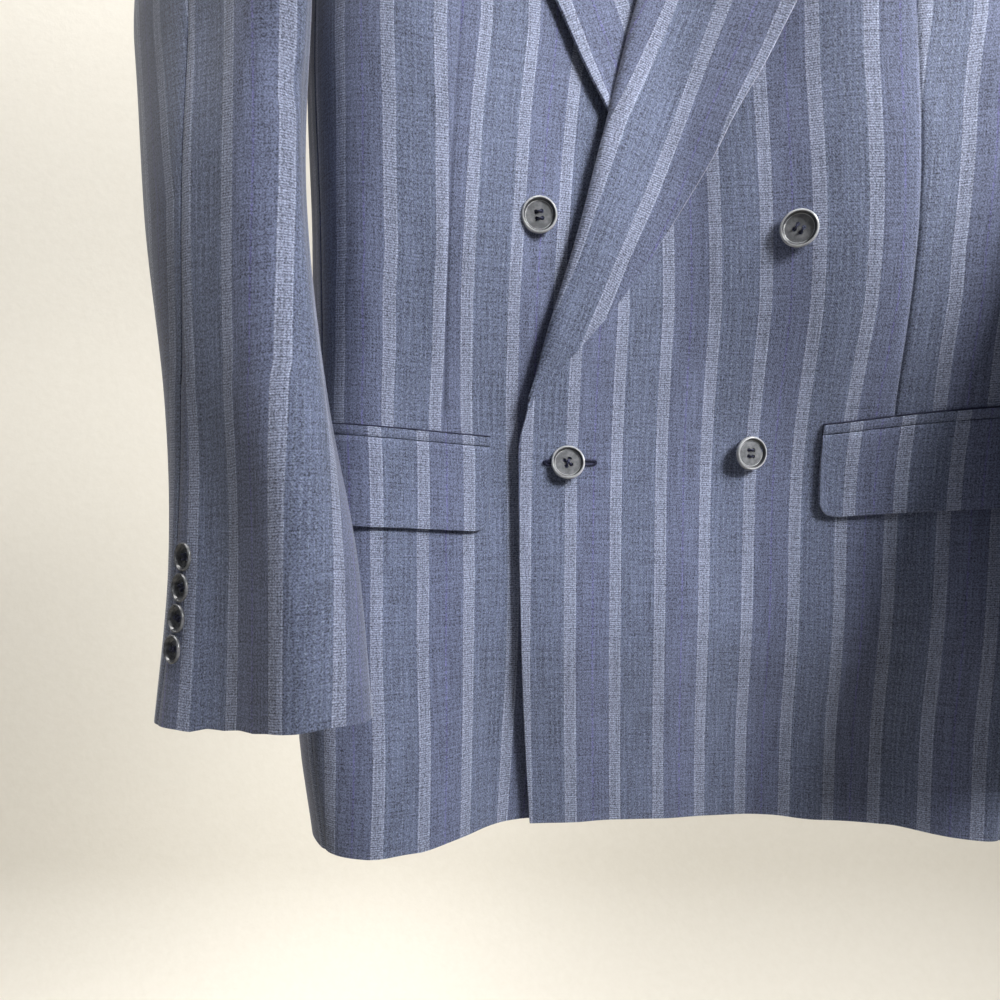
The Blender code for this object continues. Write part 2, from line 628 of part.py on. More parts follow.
def along_row(first, level, side):
    """Columns along the cloth from a front column round the side, with the length to each."""
    columns = np.linspace(first, BACK_SEAM, 300)
    line = body(columns * side, np.full(300, body_row(level)))
    run = np.concatenate([[0], np.cumsum(np.linalg.norm(np.diff(line, axis=0), axis=1))])
    return columns, run


def make_pocket(word, side, front_x, height, tree, group):
    """A jet let into the front, and the flap that hangs from under it."""
    start = float(column_for(np.array([body_row(height)]), lambda _: front_x)[0])
    columns, lengths = along_row(abs(start), height, side)
    edge = abs(float(column_for(np.array([body_row(height)]), lambda z: side * front_edge(z))[0]))
    folds = np.linspace(-edge, FRONT_SEAM - COLUMN_GAP, FRONT_COLUMNS)
    folds = np.interp(np.concatenate([folds, side_columns(SIDE_COLUMNS)]), columns, lengths)
    inside = (folds > FLAP_CORNER * 1.3) & (folds < POCKET_LENGTH - FLAP_CORNER * 1.3)
    corners = CORNER_SHARES * FLAP_CORNER
    run = np.concatenate([corners, folds[inside], POCKET_LENGTH - corners[::-1]])
    across = np.interp(run, lengths, columns)
    top = height + POCKET_RISE * run / 100
    corner = np.clip(FLAP_CORNER - np.minimum(run, POCKET_LENGTH - run), 0, FLAP_CORNER)
    round_up = FLAP_CORNER - np.sqrt(FLAP_CORNER**2 - corner**2)
    lines = (
        ("jet", FLAP_ROWS[[0, -1]], top, 0 * run + JET_HEIGHT, JET_STAND, JET_THICK),
        ("flap", FLAP_ROWS, top - JET_HEIGHT - SEAM, FLAP_HEIGHT - round_up, FLAP_STAND, FLAP_THICK),
    )
    for kind, down, upper, fall, stand, thick in lines:
        row = body_row(upper - down[:, None] * fall)
        place_across = np.broadcast_to(across, row.shape) * side
        base, out = raised(place_across, row, 0.0, lap=side > 0), body_out(place_across, row)
        inner = laid(tree, base, out, stand)
        wall(f"{word}_pocket_{kind}", inner + out * thick, inner, WOOL, group, flip=side < 0)


def make_button(name, centre, out, radius, sides, group):
    """A turned button with a raised rim and a dished middle, facing out of the cloth."""
    points = [(r * radius * MM, 0, z * radius * MM) for r, z in BUTTON_PROFILE]
    mesh = bpy.data.meshes.new(name)
    mesh.from_pydata(points, [(k, k + 1) for k in range(len(points) - 1)], [])
    piece = keep(name, mesh, HORN, group)
    turn = piece.modifiers.new("turn", "SCREW")
    turn.steps = turn.render_steps = sides
    turn.use_merge_vertices = True
    turn.merge_threshold = 0.00001
    turn.use_smooth_shade = True
    piece.location = Vector(centre) * MM
    piece.rotation_mode = "QUATERNION"
    piece.rotation_quaternion = Vector(out).to_track_quat("Z", "Y")


def seat_on(tree, centre, out, radius):
    """The foot of a button that clears the cloth all round, and the way it faces."""
    side = unit(np.cross(out, np.array([0.0, 0.0, 1.0])))
    up = np.cross(side, out)
    turn = np.linspace(0, 2 * math.pi, 13)[:, None]
    ring = laid(tree, centre + radius * (side * np.cos(turn) + up * np.sin(turn)), out, 0.0)
    middle = laid(tree, centre, out, 0.0)
    facing = unit(np.cross(ring[:-1] - middle, ring[1:] - middle).sum(axis=0))
    facing = facing * np.sign(facing @ out)
    stand = max(0.0, float(((ring - middle) @ facing).max()))
    return middle + facing * (stand + BUTTON_SEAT), facing


def make_front_buttons(trees, group):
    for name, x, z, front in FRONT_BUTTONS:
        column, row = place(x, z)
        centre = raised(column, row, 0.0, lap=front == "left")
        foot, out = seat_on(trees[front], centre, body_out(column, row), FRONT_BUTTON / 2)
        make_button(name, foot, out, FRONT_BUTTON / 2, FRONT_SIDES, group)


def make_cuff_buttons(tree, group):
    """Four buttons beside each hind seam, one just clear of the next."""
    for k in range(4):
        height = CUFF_BUTTON_TOP - k * CUFF_BUTTON_STEP
        along = 1 + (HEAD_HEIGHT - height) / (HEAD_HEIGHT - CUFF_HEIGHT)
        share = seam_share(along, ARMHOLE_HIND, "hind") + CUFF_BUTTON_SHARE
        foot, out = seat_on(tree, sleeve(share, along), sleeve_out(share, along), CUFF_BUTTON / 2)
        for word, side in (("right", 1), ("left", -1)):
            mirror = np.array([side, 1, 1])
            name = f"{word}_cuff_button_{k + 1}"
            make_button(name, foot * mirror, out * mirror, CUFF_BUTTON / 2, CUFF_SIDES, group)


def make_hanger(group):
    """A flat wooden hanger under the shoulders, and the wire hook that carries it."""
    x = np.linspace(-HANGER_HALF, HANGER_HALF, 31)
    bend = np.abs(x) + HANGER_BEND * np.exp(-np.abs(x) / HANGER_BEND)
    top = shoulder_top(bend) - CLOTH - HANGER_CLEAR
    deep = HANGER_MIDDLE + (HANGER_END - HANGER_MIDDLE) * (np.abs(x) / HANGER_HALF)
    outline = np.concatenate([np.stack([x, top], 1), np.stack([x, top - deep], 1)[::-1]])
    curve = bpy.data.curves.new("hanger_body", "CURVE")
    curve.dimensions, curve.fill_mode = "2D", "BOTH"
    curve.extrude = HANGER_THICK / 2 * MM
    line = curve.splines.new("POLY")
    line.points.add(len(outline) - 1)
    for point, (px, pz) in zip(line.points, outline):
        point.co = (px * MM, pz * MM, 0, 1)
    line.use_cyclic_u = True
    curve.materials.append(material("hanger_body", *WOOD))
    bar = bpy.data.objects.new("hanger_body", curve)
    bar.rotation_euler.x = math.pi / 2
    group.objects.link(bar)

    foot = float(top[15]) + SEAM
    turn = np.radians(np.arange(-30, 231, 12))
    arc = [(HOOK_RADIUS * math.cos(a), HOOK_RADIUS * math.sin(a) + HOOK_CENTRE) for a in turn]
    neck = [(0, foot), (0, foot + 12), (2, HOOK_CENTRE - HOOK_RADIUS - 8), (9, HOOK_CENTRE - HOOK_RADIUS + 2)]
    hook = bpy.data.curves.new("hanger_hook", "CURVE")
    hook.dimensions = "3D"
    hook.bevel_depth, hook.bevel_resolution = HOOK_WIRE / 2 * MM, 2
    hook.use_fill_caps = True
    wire = hook.splines.new("POLY")
    wire.points.add(len(neck) + len(arc) - 1)
    for point, (px, pz) in zip(wire.points, neck + arc):
        point.co = (px * MM, 0, pz * MM, 1)
    hook.materials.append(material("hanger_hook", *STEEL))
    group.objects.link(bpy.data.objects.new("hanger_hook", hook))


def blazer(group):
    fronts = make_fronts(group)
    make_backs(group)
    make_collar(group)
    trees = {}
    for side, word, front_x, height in POCKETS:
        side_panel = make_side_panel(word + "_side_panel", side, group)
        trees[word] = cloth_tree(fronts[word], side_panel)
        make_lapel(word + "_lapel", side, group)
        make_pocket(word, side, front_x, height, trees[word], group)
    make_front_buttons(trees, group)
    make_cuff_buttons(cloth_tree(make_sleeves(group)), group)
    make_hanger(group)


def main():
    for old in list(bpy.data.objects):
        bpy.data.objects.remove(old, do_unlink=True)
    group = bpy.data.collections.new("double breasted blazer")
    bpy.context.scene.collection.children.link(group)
    blazer(group)


main()
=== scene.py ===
"""Looks of a double breasted blazer of striped wool, hung by a plain hanger.

The cloth pieces follow the cut of the solids, in millimetres: X across from the centre
front, Y back towards the wall, Z up from the point of the hook that bears on the rail.
Left and right are the wearer's, so the left front, which laps over, lies at +X.
"""

import math

import bpy
import numpy as np
from mathutils import Matrix, Vector


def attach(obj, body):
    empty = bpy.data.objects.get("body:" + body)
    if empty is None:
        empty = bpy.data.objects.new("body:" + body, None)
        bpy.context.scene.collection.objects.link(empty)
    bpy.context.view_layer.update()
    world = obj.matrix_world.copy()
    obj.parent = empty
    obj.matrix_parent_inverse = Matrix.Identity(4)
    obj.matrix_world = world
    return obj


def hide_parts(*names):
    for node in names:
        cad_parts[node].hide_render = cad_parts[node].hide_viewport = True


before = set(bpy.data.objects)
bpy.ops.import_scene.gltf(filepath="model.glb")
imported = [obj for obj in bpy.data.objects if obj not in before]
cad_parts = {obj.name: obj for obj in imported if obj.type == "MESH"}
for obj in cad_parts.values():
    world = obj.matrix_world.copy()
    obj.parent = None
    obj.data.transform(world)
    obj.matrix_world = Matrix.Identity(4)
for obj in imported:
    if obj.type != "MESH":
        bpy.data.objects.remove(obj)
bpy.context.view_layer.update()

MM = 0.001
ROOT = "root"

# Heights, shoulders and sections of the body, as the solids have them
HEM_HEIGHT, CHEST_HEIGHT, SLOPE_FROM = -850.0, -240.0, -400.0
NECK_HALF, NECK_HEIGHT = 78.0, -86.0
SHOULDER_HALF, SHOULDER_FALL, SHOULDER_DEPTH = 240.0, 0.2727, 0.0
SHOULDER_ROUND, SHOULDER_EDGE = 110.0, 0.93
COLUMN_WIDTH = (0.0, 0.22, 0.45, 0.66, 0.82, 0.93, 1.0, 0.93, 0.74, 0.40, 0.0)
FRONT_SEAM, SIDE, BACK_SEAM, CENTRE_BACK = 5, 6, 7, 10
BODY_COLUMNS = "height half r5 r4 r3 r2 r1 c l1 l2 l3 l4 l5 s b7 b8 b9 b10"
BODY = (
    (-850, 211.5, -80, -88, -77, -46, -40, -33, -28, -31, -42, -62, -66, -45, 8, 34, 40, 38),
    (-790, 219.5, -80, -88, -77, -50, -45, -38, -34, -38, -50, -66, -70, -45, 7, 34, 40, 38),
    (-740, 221, -78, -86, -75, -57, -52, -46, -44, -48, -60, -72, -72, -44, 6, 34, 40, 38),
    (-625, 214, -78, -88, -77, -62, -55, -51, -51, -58, -74, -84, -78, -42, 5, 30, 36, 36),
    (-500, 211, -92, -114, -113, -98, -82, -76, -86, -102, -112, -112, -92, -43, 8, 33, 38, 38),
    (-400, 214, -93, -120, -124, -105, -88, -80, -92, -112, -120, -118, -93, -42, 14, 36, 40, 39),
    (-300, 210, -90, -114, -119, -104, -88, -82, -90, -106, -119, -114, -90, -38, 20, 38, 41, 40),
    (-240, 206, -86, -102, -104, -94, -84, -80, -84, -94, -104, -102, -86, -34, 24, 38, 41, 39),
)

# Front edges, roll lines and neck
EDGE_HALF, EDGE_SWING = 87.6, 0.000117
ROLL = (
    (-590, -82), (-551, -68), (-508, -54), (-454, -40),
    (-380, -21), (-304, 3), (-240, 26), (-178, 47),
)
NECKLINE = ((-178, 47), (-150, 56), (-120, 69), (-86, 78))
OVERLAP_RAISE = 7.3
OVERLAP_EDGE_HALF, OVERLAP_OUT_HALF = 88.0, 150.0
OVERLAP_TOP, OVERLAP_OUT = -330.0, -250.0
ARMPIT_LEVEL, ARMPIT_DIP = -306.0, 26.0
NAPE_ROW = 1.46

# Sleeves
SLEEVE_COLUMNS = "height x y long short turn hind fore"
SLEEVE = (
    (-760, 217, -124, 57, 30, 12, 0.080, 0.58),
    (-680, 218.5, -121, 51.5, 32, 22, 0.105, 0.59),
    (-600, 228.5, -117, 51.5, 34, 44, 0.150, 0.60),
    (-500, 242, -111, 60, 34, 49, 0.215, 0.62),
    (-400, 247, -104, 68, 33, 43, 0.235, 0.62),
)
SLEEVE_SQUARE = 2.3
CUFF_TILT, CUFF_TILT_FROM = 0.03, -640.0
HEAD_HEIGHT, CUFF_HEIGHT = -400.0, -760.0
HEAD_TWIST, SLEEVE_SET = 0.17, 1.2
ARMHOLE_HIND, ARMHOLE_FORE = -0.12, 0.46
HEAD_BLEND = 0.25

# Lapels and collar
LAPEL_FOOT, LAPEL_TOP = -594.0, -178.0
LAPEL_EDGE = (
    (-594, -81.6), (-588, -78.6), (-571, -63.0), (-549, -43.0), (-511, -12.5), (-489, 4.2),
    (-462, 23.0), (-441, 34.2), (-410, 52.0), (-381, 67), (-310, 106), (-250, 138), (-190, 158),
)
LAPEL_FACE = 3.6
LAPEL_LAID, LAPEL_TIP_FACE, LAPEL_TIP_IN = 0.12, 0.5, 0.6
LAPEL_LEAN = ((0, 0), (0.06, 1.2), (0.2, 3.2), (0.35, 3.0), (0.6, 1.2), (0.8, 0))
NOTCH_PLACE, NOTCH_DIP, NOTCH_FROM = 0.58, 31.0, 0.7
ROLL_FACE = (
    (-3.2, -1.8), (-3.4, 0.4), (-2.4, 2.6), (0.6, 4.2),
    (6.0, 4.9), (16.0, 4.2), (26.0, LAPEL_FACE),
)
COLLAR_COLUMNS = "neck_x outer_x outer_z rise out_x out_y up_y up_z inset lift behind"
COLLAR = (
    (47.5, 127, -194, 3, 1.0, 0.0, -1.0, 0.0, 2.8, -1.0, 0),
    (56, 121, -168, 5, 1.0, 0.0, -1.0, 0.2, 2.8, -0.8, 0),
    (69, 116, -134, 9, 1.0, 0.0, -0.8, 0.6, 2.8, -0.6, 0),
    (76, 118, -105, 13, 1.0, 0.0, -0.4, 0.9, 2.8, -0.3, 0),
    (78, 116, -97, 17, 1.0, 0.1, -0.1, 1.0, 2.8, 0.0, 0),
    (74, 108, -101, 21, 0.85, 0.5, 0.0, 1.0, 2.8, 0.2, 1),
    (56, 80, -107, 26, 0.6, 0.8, 0.0, 1.0, 2.2, 0.7, 1),
    (28, 42, -112, 29, 0.3, 0.95, 0.0, 1.0, 1.5, 1.0, 1),
    (0, 0, -116, 30, 0.0, 1.0, 0.0, 1.0, 1.2, 1.0, 1),
)
COLLAR_FACE, COLLAR_WALL, FALL_BULGE = 3.4, 2.0, 3.0
FOLD_STEP, FOLD_ROUND, FOLD_OUT = 1.6, 2.8, 6.4
GORGE_END, GORGE_SHARE = (109.0, -213.2), 0.72

# Cloth: its wall and its light stripes
WALL, EDGE_ROUND = 1.8, 0.55
STRIPE_PITCH, STRIPE_WIDTH = 27.3, 7.0

# How close a sheet's rows and columns lie, its seams, and the cloth that a column or share spans
GRID, BACK_GRID = 3.3, 3.4
LOW_ROWS, CHEST_ROWS, SHOULDER_ROWS = 168, 22, 52
HEAD_ROWS, ARM_ROWS, LAPEL_ROWS, SIDE_ROWS, COLLAR_ROWS = 72, 114, 150, 165, 150
EDGE_COLUMNS = np.array([0.0, 0.7, 1.8, 4.0])
DART_COLUMNS = np.array([-2.6, -1.2, -0.5, 0.0, 0.5, 1.2, 2.6])
SEAM_GAP, SEAM_DEPTH, SEAM_REACH = 0.15, 0.5, 3.0
FRONT_COLUMN, BACK_COLUMN, SLEEVE_ROUND = 45.0, 80.0, 330.0

# The wool's colours, its stripe's softness, and the widths of its fine pins, rungs and twill
GREEN_GROUND = (0.107, 0.127, 0.200, 1)
PURPLE_GROUND = (0.109, 0.127, 0.204, 1)
STRIPE_DARK = (0.155, 0.176, 0.255, 1)
STRIPE_LIGHT = (0.31, 0.345, 0.465, 1)
VIOLET = (0.11, 0.10, 0.30, 1)
PALE = (0.24, 0.29, 0.36, 1)
STRIPE_SOFT, RIM_FROM, RIM_TO = 0.25, 1.1, 0.5
PIN_PITCH, RUNG_PITCH, TWILL_PITCH = 3.16, 1.25, 1.05

# Where a stripe of each front runs, as (height, x), and how many stripes it is from the first
LEFT_GRAIN = (
    (-850, 27), (-740, 25.3), (-650, 26), (-592, 26.5),
    (-540, 27), (-484, 24), (-420, 20), (-240, 16),
)
RIGHT_GRAIN = (
    (-850, -118.5), (-769, -116.6), (-700, -115.5), (-593, -116.4), (-540, -115.2),
    (-490, -112), (-439, -108.6), (-396, -104), (-240, -100),
)
GRAIN = {1: (LEFT_GRAIN, 4), -1: (RIGHT_GRAIN, 0)}

# The front darts: (height, x) of the seam on the left front, the cloth each takes in, where the
# seam starts and ends, and its grooves as (depth, half width)
DART = ((-604, 129), (-560, 127), (-519, 124.6), (-480, 122.5), (-411, 118), (-350, 115))
DART_TAKES = (
    (-604, 8.5), (-567, 11.3), (-517, 13), (-492, 11.4), (-443, 7.7), (-403, 1.8), (-370, 0),
)
DART_FOOT, DART_END = -607.0, -352.0
DART_GROOVES = ((0.9, 0.75), (0.5, 4.0))

# Where three stripes run on the turned lapel, from its roll outwards, as (height, x, x, x)
LAPEL_STRIPES = (
    (-590, -97, -61, -30), (-550, -75, -46, -13), (-515, -59.5, -31.5, 1),
    (-479, -47.4, -14, 22), (-442, -35.1, 3.1, 34.5), (-408, -18.2, 17, 51),
    (-374, -1.7, 30, 66), (-240, 54, 84, 114), (-178, 76, 106, 136),
)
SLEEVE_STRIPE_X, SIDE_STRIPE = -199.0, 9.0
UNDER_LEAN = ((-505, -8.0), (-410, -25.0), (-200, -40.0))

# Soft folds of the fronts and back: from (x, height) to (x, height), half width and rise
FRONT_FOLDS = (
    (-172, -420, -168, -800, 13, 1.6),
    (-146, -640, -150, -850, 10, -1.3),
    (-121, -640, -117, -850, 9, 1.2),
    (-139, -400, -137, -600, 9, -1.0),
    (-58, -430, -62, -560, 12, -1.6),
    (-38, -640, -34, -845, 12, -1.1),
    (12, -560, 6, -840, 16, 1.5),
    (52, -640, 60, -845, 14, -1.6),
    (92, -680, 96, -848, 13, 1.4),
    (34, -400, 28, -560, 16, 1.2),
    (104, -300, 96, -560, 18, -1.2),
    (150, -300, 158, -520, 14, 1.3),
    (-118, -250, -128, -420, 16, 1.2),
    (140, -690, 146, -850, 12, -1.4),
)
BACK_FOLDS = (
    (150, -260, 138, -560, 17, 2.0),
    (-146, -280, -140, -600, 16, 1.8),
    (92, -300, 100, -640, 18, -1.6),
    (-96, -270, -88, -560, 17, -1.4),
    (40, -560, 46, -850, 20, 1.5),
    (-52, -600, -60, -850, 18, 1.7),
    (120, -640, 126, -850, 15, 1.3),
    (-124, -660, -118, -850, 15, 1.2),
)

# Creases of each sleeve's front and back, as (distance outwards, height)
SLEEVE_FOLDS = {
    "right": {
        "front": (
            (190, -250, 192, -800, 15, 7.0),
            (236, -300, 234, -800, 21, -7.0),
            (205, -330, 203, -450, 9, 2.4),
            (192, -440, 202, -470, 4, -2.0),
            (240, -420, 246, -640, 15, 1.2),
            (216, -500, 212, -700, 12, -1.0),
            (186, -500, 180, -560, 8, -1.6),
            (258, -250, 262, -400, 12, -1.6),
            (226, -240, 222, -370, 12, 1.8),
            (190, -660, 182, -755, 10, 1.4),
        ),
        "back": (
            (262, -560, 214, -600, 10, -2.2),
            (266, -600, 220, -628, 9, 2.0),
            (250, -500, 210, -540, 9, 1.8),
            (240, -300, 250, -480, 16, 1.6),
        ),
    },
    "left": {
        "front": (
            (207, -330, 204, -440, 10, 2.0),
            (238, -430, 248, -620, 14, 1.4),
            (214, -490, 210, -690, 12, -1.2),
            (188, -520, 182, -590, 8, -1.5),
            (256, -240, 264, -410, 13, -1.4),
            (224, -250, 226, -380, 12, 1.6),
            (240, -690, 236, -757, 11, -1.2),
        ),
        "back": (
            (264, -570, 212, -596, 10, -2.0),
            (268, -596, 216, -634, 9, 1.8),
            (252, -510, 208, -548, 8, 1.6),
            (236, -280, 252, -470, 15, 1.8),
        ),
    },
}

# How the front hem, as (x, lift), and the cuffs, as (distance outwards, lift), wave off their level
HEM_LIFT = (
    (-205, 2.0), (-172, 0.0), (-142, -1.6), (-118, 0.5), (-92, 2.4), (-80, 3.0),
    (0, 3.0), (27, 3.1), (76, 3.5), (108, 0.6), (138, -1.6), (200, 0.0),
)
HEM_FADE = 90.0
CUFF_LIFT = (
    (160, 0.0), (168, 2.0), (176, 3.2), (194, 3.0), (204, 2.4), (212, 1.0), (220, 1.4),
    (229, 0.2), (238, 0.9), (247, -0.8), (255, 0.0),
)
CUFF_FADE = 60.0

# Pockets: (side, word, x of the front end, height there), their jets, the dark line painted as the
# shadow in each jet's seam, and flaps
POCKETS = ((1, "left", 93.0, -604.0), (-1, "right", -103.0, -613.0))
POCKET_LENGTH, POCKET_RISE = 140.0, 6.0
JET_HEIGHT, JET_FACE = 5.4, 1.9
JET_THICK, FLAP_THICK, POCKET_ROUND = 1.3, 1.9, 0.45
FLAP_GAP, JET_SWELL, FLAP_SWELL = 0.35, 0.35, 0.9
POCKET_SHIFT = 3.0
# The dark thread line along each jet's seam, painted shadow of its groove: how far above the seam,
# how far sunk into the cloth, and its radius
SHADOW_LINE_OFF, SHADOW_LINE_SUNK, SHADOW_LINE_RADIUS = 0.35, 0.35, 0.4
FLAP_HEIGHT, FLAP_CORNER, FLAP_FACE = 50.0, 9.0, 2.8

# Front buttons: (name, x, height, the front that it is sewn on, how far it is turned), how each
# tips across and up, and then the cuff's buttons and the buttonhole
FRONT_BUTTONS = (
    ("upper_right_button", -76.0, -493.5, "right", 0.12),
    ("upper_left_button", 67.2, -502.0, "left", 1.0),
    ("lower_right_button", -58.0, -627.0, "left", 0.3),
    ("lower_left_button", 52.3, -620.5, "left", 0.0),
)
BUTTON_TILT = {
    "upper_right_button": (-0.28, 0.0),
    "upper_left_button": (0.0, 0.0),
    "lower_right_button": (-0.10, 0.28),
    "lower_left_button": (0.34, 0.12),
}
FRONT_BUTTON, CUFF_BUTTON = 20.0, 14.2
FRONT_SEAT, CUFF_SEAT = 1.6, 0.8
CUFF_BUTTON_TOP, CUFF_BUTTON_STEP, CUFF_BUTTON_SHARE = -677.5, 14.8, 0.033
CUFF_BUTTON_SPIN, CUFF_BUTTON_TURN = 0.25, 0.5
BUTTONHOLE_LENGTH, BUTTONHOLE_HALF, BUTTONHOLE_SHIFT = 31.0, 1.5, 1.5
STITCH_COUNT, STITCH_RADIUS, STITCH_WAVE = 48, 0.95, 0.22

# A button's form, in shares of its radius: insets with lifts on its face and back, and holes
BUTTON_THICK, BUTTON_LEVEL, BUTTON_SOFT = 0.1, 0.15, 0.035
FACE_STEPS = (
    (0.03, 0.07), (0.04, 0.03), (0.05, 0.0), (0.03, -0.03),
    (0.02, -0.06), (0.05, -0.09), (0.03, -0.01), (0.04, 0.0),
)
BACK_STEPS = ((0.16, -0.08), (0.20, -0.02))
# Beyond this share of the radius, rim faces take a paler horn as a painted highlight and, on front
# buttons, the rim's inward wall a near-black horn as painted shade
PAINTED_RING_SHARE = 0.74
HOLES = ((0.155, 0.185), (-0.155, 0.185), (0.155, -0.185), (-0.155, -0.185))
HOLE_RADIUS = 0.118
THREAD_RADIUS, THREAD_TOP, THREAD_BOW, THREAD_DIP = 0.05, 0.13, 0.1, 0.16
SHANK_RADIUS, SHANK_LENGTH, SHANK_DROP = 0.16, 0.5, 0.18

# Horn: its dark and pale colour, its gloss, and how strong its pale streaks are; the rim finishes
# are paler as a painted highlight, the wall finish near black as painted shade
HORNS = {
    "front_horn": ((0.115, 0.12, 0.13, 1), (0.215, 0.222, 0.24, 1), 0.18, 0.2),
    "front_rim_painted_highlight_horn": ((0.34, 0.35, 0.37, 1), (0.44, 0.45, 0.47, 1), 0.16, 0.15),
    # Painted shade: a near-black horn for the inward wall of the front buttons' rims
    "front_wall_painted_shade_horn": ((0.035, 0.037, 0.042, 1), (0.06, 0.062, 0.07, 1), 0.3, 0.1),
    "cuff_horn": ((0.035, 0.037, 0.043, 1), (0.15, 0.155, 0.17, 1), 0.14, 0.5),
    "cuff_rim_painted_highlight_horn": ((0.07, 0.073, 0.08, 1), (0.22, 0.225, 0.24, 1), 0.12, 0.5),
}
HORN_STREAK = (0.55, 0.56, 0.58, 1)

# The room, in metres, swept from floor to wall
FLOOR, WALL_BACK, ROOM_HALF, ROOM_FRONT = -1.92, 1.35, 2.2, -1.5
SWEEP, SWEEP_STEPS, WALL_HEIGHT = 0.35, 12, 4.2

# Lights, in watts and metres: power, size, where each stands and points, colour and spread
LIGHTS = (
    ("window", 4.2, 0.6, (0.95, -0.95, 0.2), (0.15, -0.05, -0.42), (1.0, 0.99, 0.97), 45),
    ("ceiling", 1.5, 0.8, (-0.1, -0.8, 0.7), (0.05, 0, -0.4), (1.0, 0.99, 0.98), 180),
    ("wall_top", 160, 2.4, (-0.7, 0.4, 2.5), (-0.6, 1.35, -1.6), (1, 0.98, 0.95), 180),
    ("wall_left", 4.5, 1.6, (-1.4, 0.2, -0.6), (-1.3, 1.35, -0.8), (1, 0.98, 0.95), 180),
    ("wall_right", 5.5, 1.6, (0.8, 0.2, -1.0), (0.7, 1.35, -1.5), (1, 0.98, 0.95), 180),
)
AIR_COLOUR, AIR_STRENGTH = (0.93, 0.96, 1.0, 1), 0.10

# The camera: a phone's wide lens in millimetres, level, close to the cloth, in metres
LENS, SENSOR, NEAR_CLIP = 26.0, 36.0, 0.01
CAMERA_AT = (-0.097, -0.490, -0.650)


# --- the cut ---


def table(columns, rows):
    """Columns of a section table by name."""
    return dict(zip(columns.split(), np.array(rows, float).T))


def smooth(knots, values, at):
    """A smooth curve through values at rising knots, read at any places."""
    knots, values = np.asarray(knots, float), np.asarray(values, float)
    slopes = np.gradient(values, knots, axis=0)
    at = np.asarray(at, float)
    i = np.clip(np.searchsorted(knots, at, side="right") - 1, 0, len(knots) - 2)
    span = knots[i + 1] - knots[i]
    t = np.clip((at - knots[i]) / span, 0.0, 1.0)
    if values.ndim > 1:
        extra = (None,) * (values.ndim - 1)
        t, span = t[(..., *extra)], span[(..., *extra)]
    return (
        (2 * t**3 - 3 * t**2 + 1) * values[i]
        + (t**3 - 2 * t**2 + t) * span * slopes[i]
        + (3 * t**2 - 2 * t**3) * values[i + 1]
        + (t**3 - t**2) * span * slopes[i + 1]
    )


def ease(x):
    """0 below 0, 1 above 1, smooth between."""
    x = np.clip(x, 0.0, 1.0)
    return x * x * (3 - 2 * x)


def along_line(line, height):
    """The x of a line given as (height, x) rows, at any heights."""
    places = np.array(line, float)
    order = np.argsort(places[:, 0])
    return np.interp(height, places[order, 0], places[order, 1])


BODY_TABLE = table(BODY_COLUMNS, BODY)
RING_FRONT = ("r5", "r4", "r3", "r2", "r1", "c", "l1", "l2", "l3", "l4", "l5")
RING_SIDE = ("s", "b7", "b8", "b9")
WIDTH_RING = np.array([-w for w in COLUMN_WIDTH[:0:-1]] + list(COLUMN_WIDTH))


def ring_depths(level):
    """The y of the body's ring at a height, from the centre back round by the front."""
    rows = BODY_TABLE["height"]
    back = [smooth(rows, BODY_TABLE[k], level) for k in RING_SIDE]
    middle = smooth(rows, BODY_TABLE["b10"], level)
    front = [smooth(rows, BODY_TABLE[k], level) for k in RING_FRONT]
    return np.stack([middle, *back[::-1], *front, *back, middle], axis=-1)


def ring_at(values, column):
    """Reads a ring of 21 columns, -10 to 10, at a signed column, by a curve through four."""
    around = np.concatenate([values[..., -3:-1], values, values[..., 1:3]], axis=-1)
    at = column + CENTRE_BACK + 2
    i = np.clip(np.floor(at).astype(int), 1, around.shape[-1] - 3)
    t = at - i
    spots = ((i + k)[..., None] for k in (-1, 0, 1, 2))
    a, b, c, d = (np.take_along_axis(around, spot, axis=-1)[..., 0] for spot in spots)
    return b + 0.5 * t * (c - a + t * (2 * a - 5 * b + 4 * c - d + t * (3 * (b - c) + d - a)))


def shoulder_top(x):
    """The height of the shoulder line over an x."""
    return NECK_HEIGHT - (np.abs(x) - NECK_HALF) * SHOULDER_FALL


def body(column, row):
    """A point of the body: column -10 to 10, row 0 at the hem, 1 at the chest, 2 at the seam."""
    column, row = np.broadcast_arrays(np.asarray(column, float), np.asarray(row, float))
    level = HEM_HEIGHT + np.clip(row, 0, 1) * (CHEST_HEIGHT - HEM_HEIGHT)
    turn = np.clip(row - 1, 0, 1) * math.pi / 2
    depths = ring_depths(level)
    half = smooth(BODY_TABLE["height"], BODY_TABLE["half"], level)
    half = half + (SHOULDER_HALF / SHOULDER_EDGE - half) * np.sin(turn) ** 2
    x = ring_at(np.broadcast_to(WIDTH_RING, depths.shape), column) * half
    y = ring_at(depths, column)
    y = SHOULDER_DEPTH + (y - SHOULDER_DEPTH) * np.cos(turn)
    lift = shoulder_top(x) - SHOULDER_ROUND - CHEST_HEIGHT
    lift = lift * ease((level - SLOPE_FROM) / (CHEST_HEIGHT - SLOPE_FROM))
    z = level + lift + SHOULDER_ROUND * np.sin(turn)
    return np.stack([x, y, z], axis=-1)


def unit(v):
    return v / np.maximum(np.linalg.norm(v, axis=-1, keepdims=True), 1e-9)


def body_out(column, row):
    """The outward direction of the body's cloth."""
    step = 0.02
    across = body(column + step, row) - body(column - step, row)
    up = body(column, np.minimum(row + step / 8, 1.995)) - body(column, row - step / 8)
    return unit(np.cross(across, up))


def body_row(height):
    return (height - HEM_HEIGHT) / (CHEST_HEIGHT - HEM_HEIGHT)


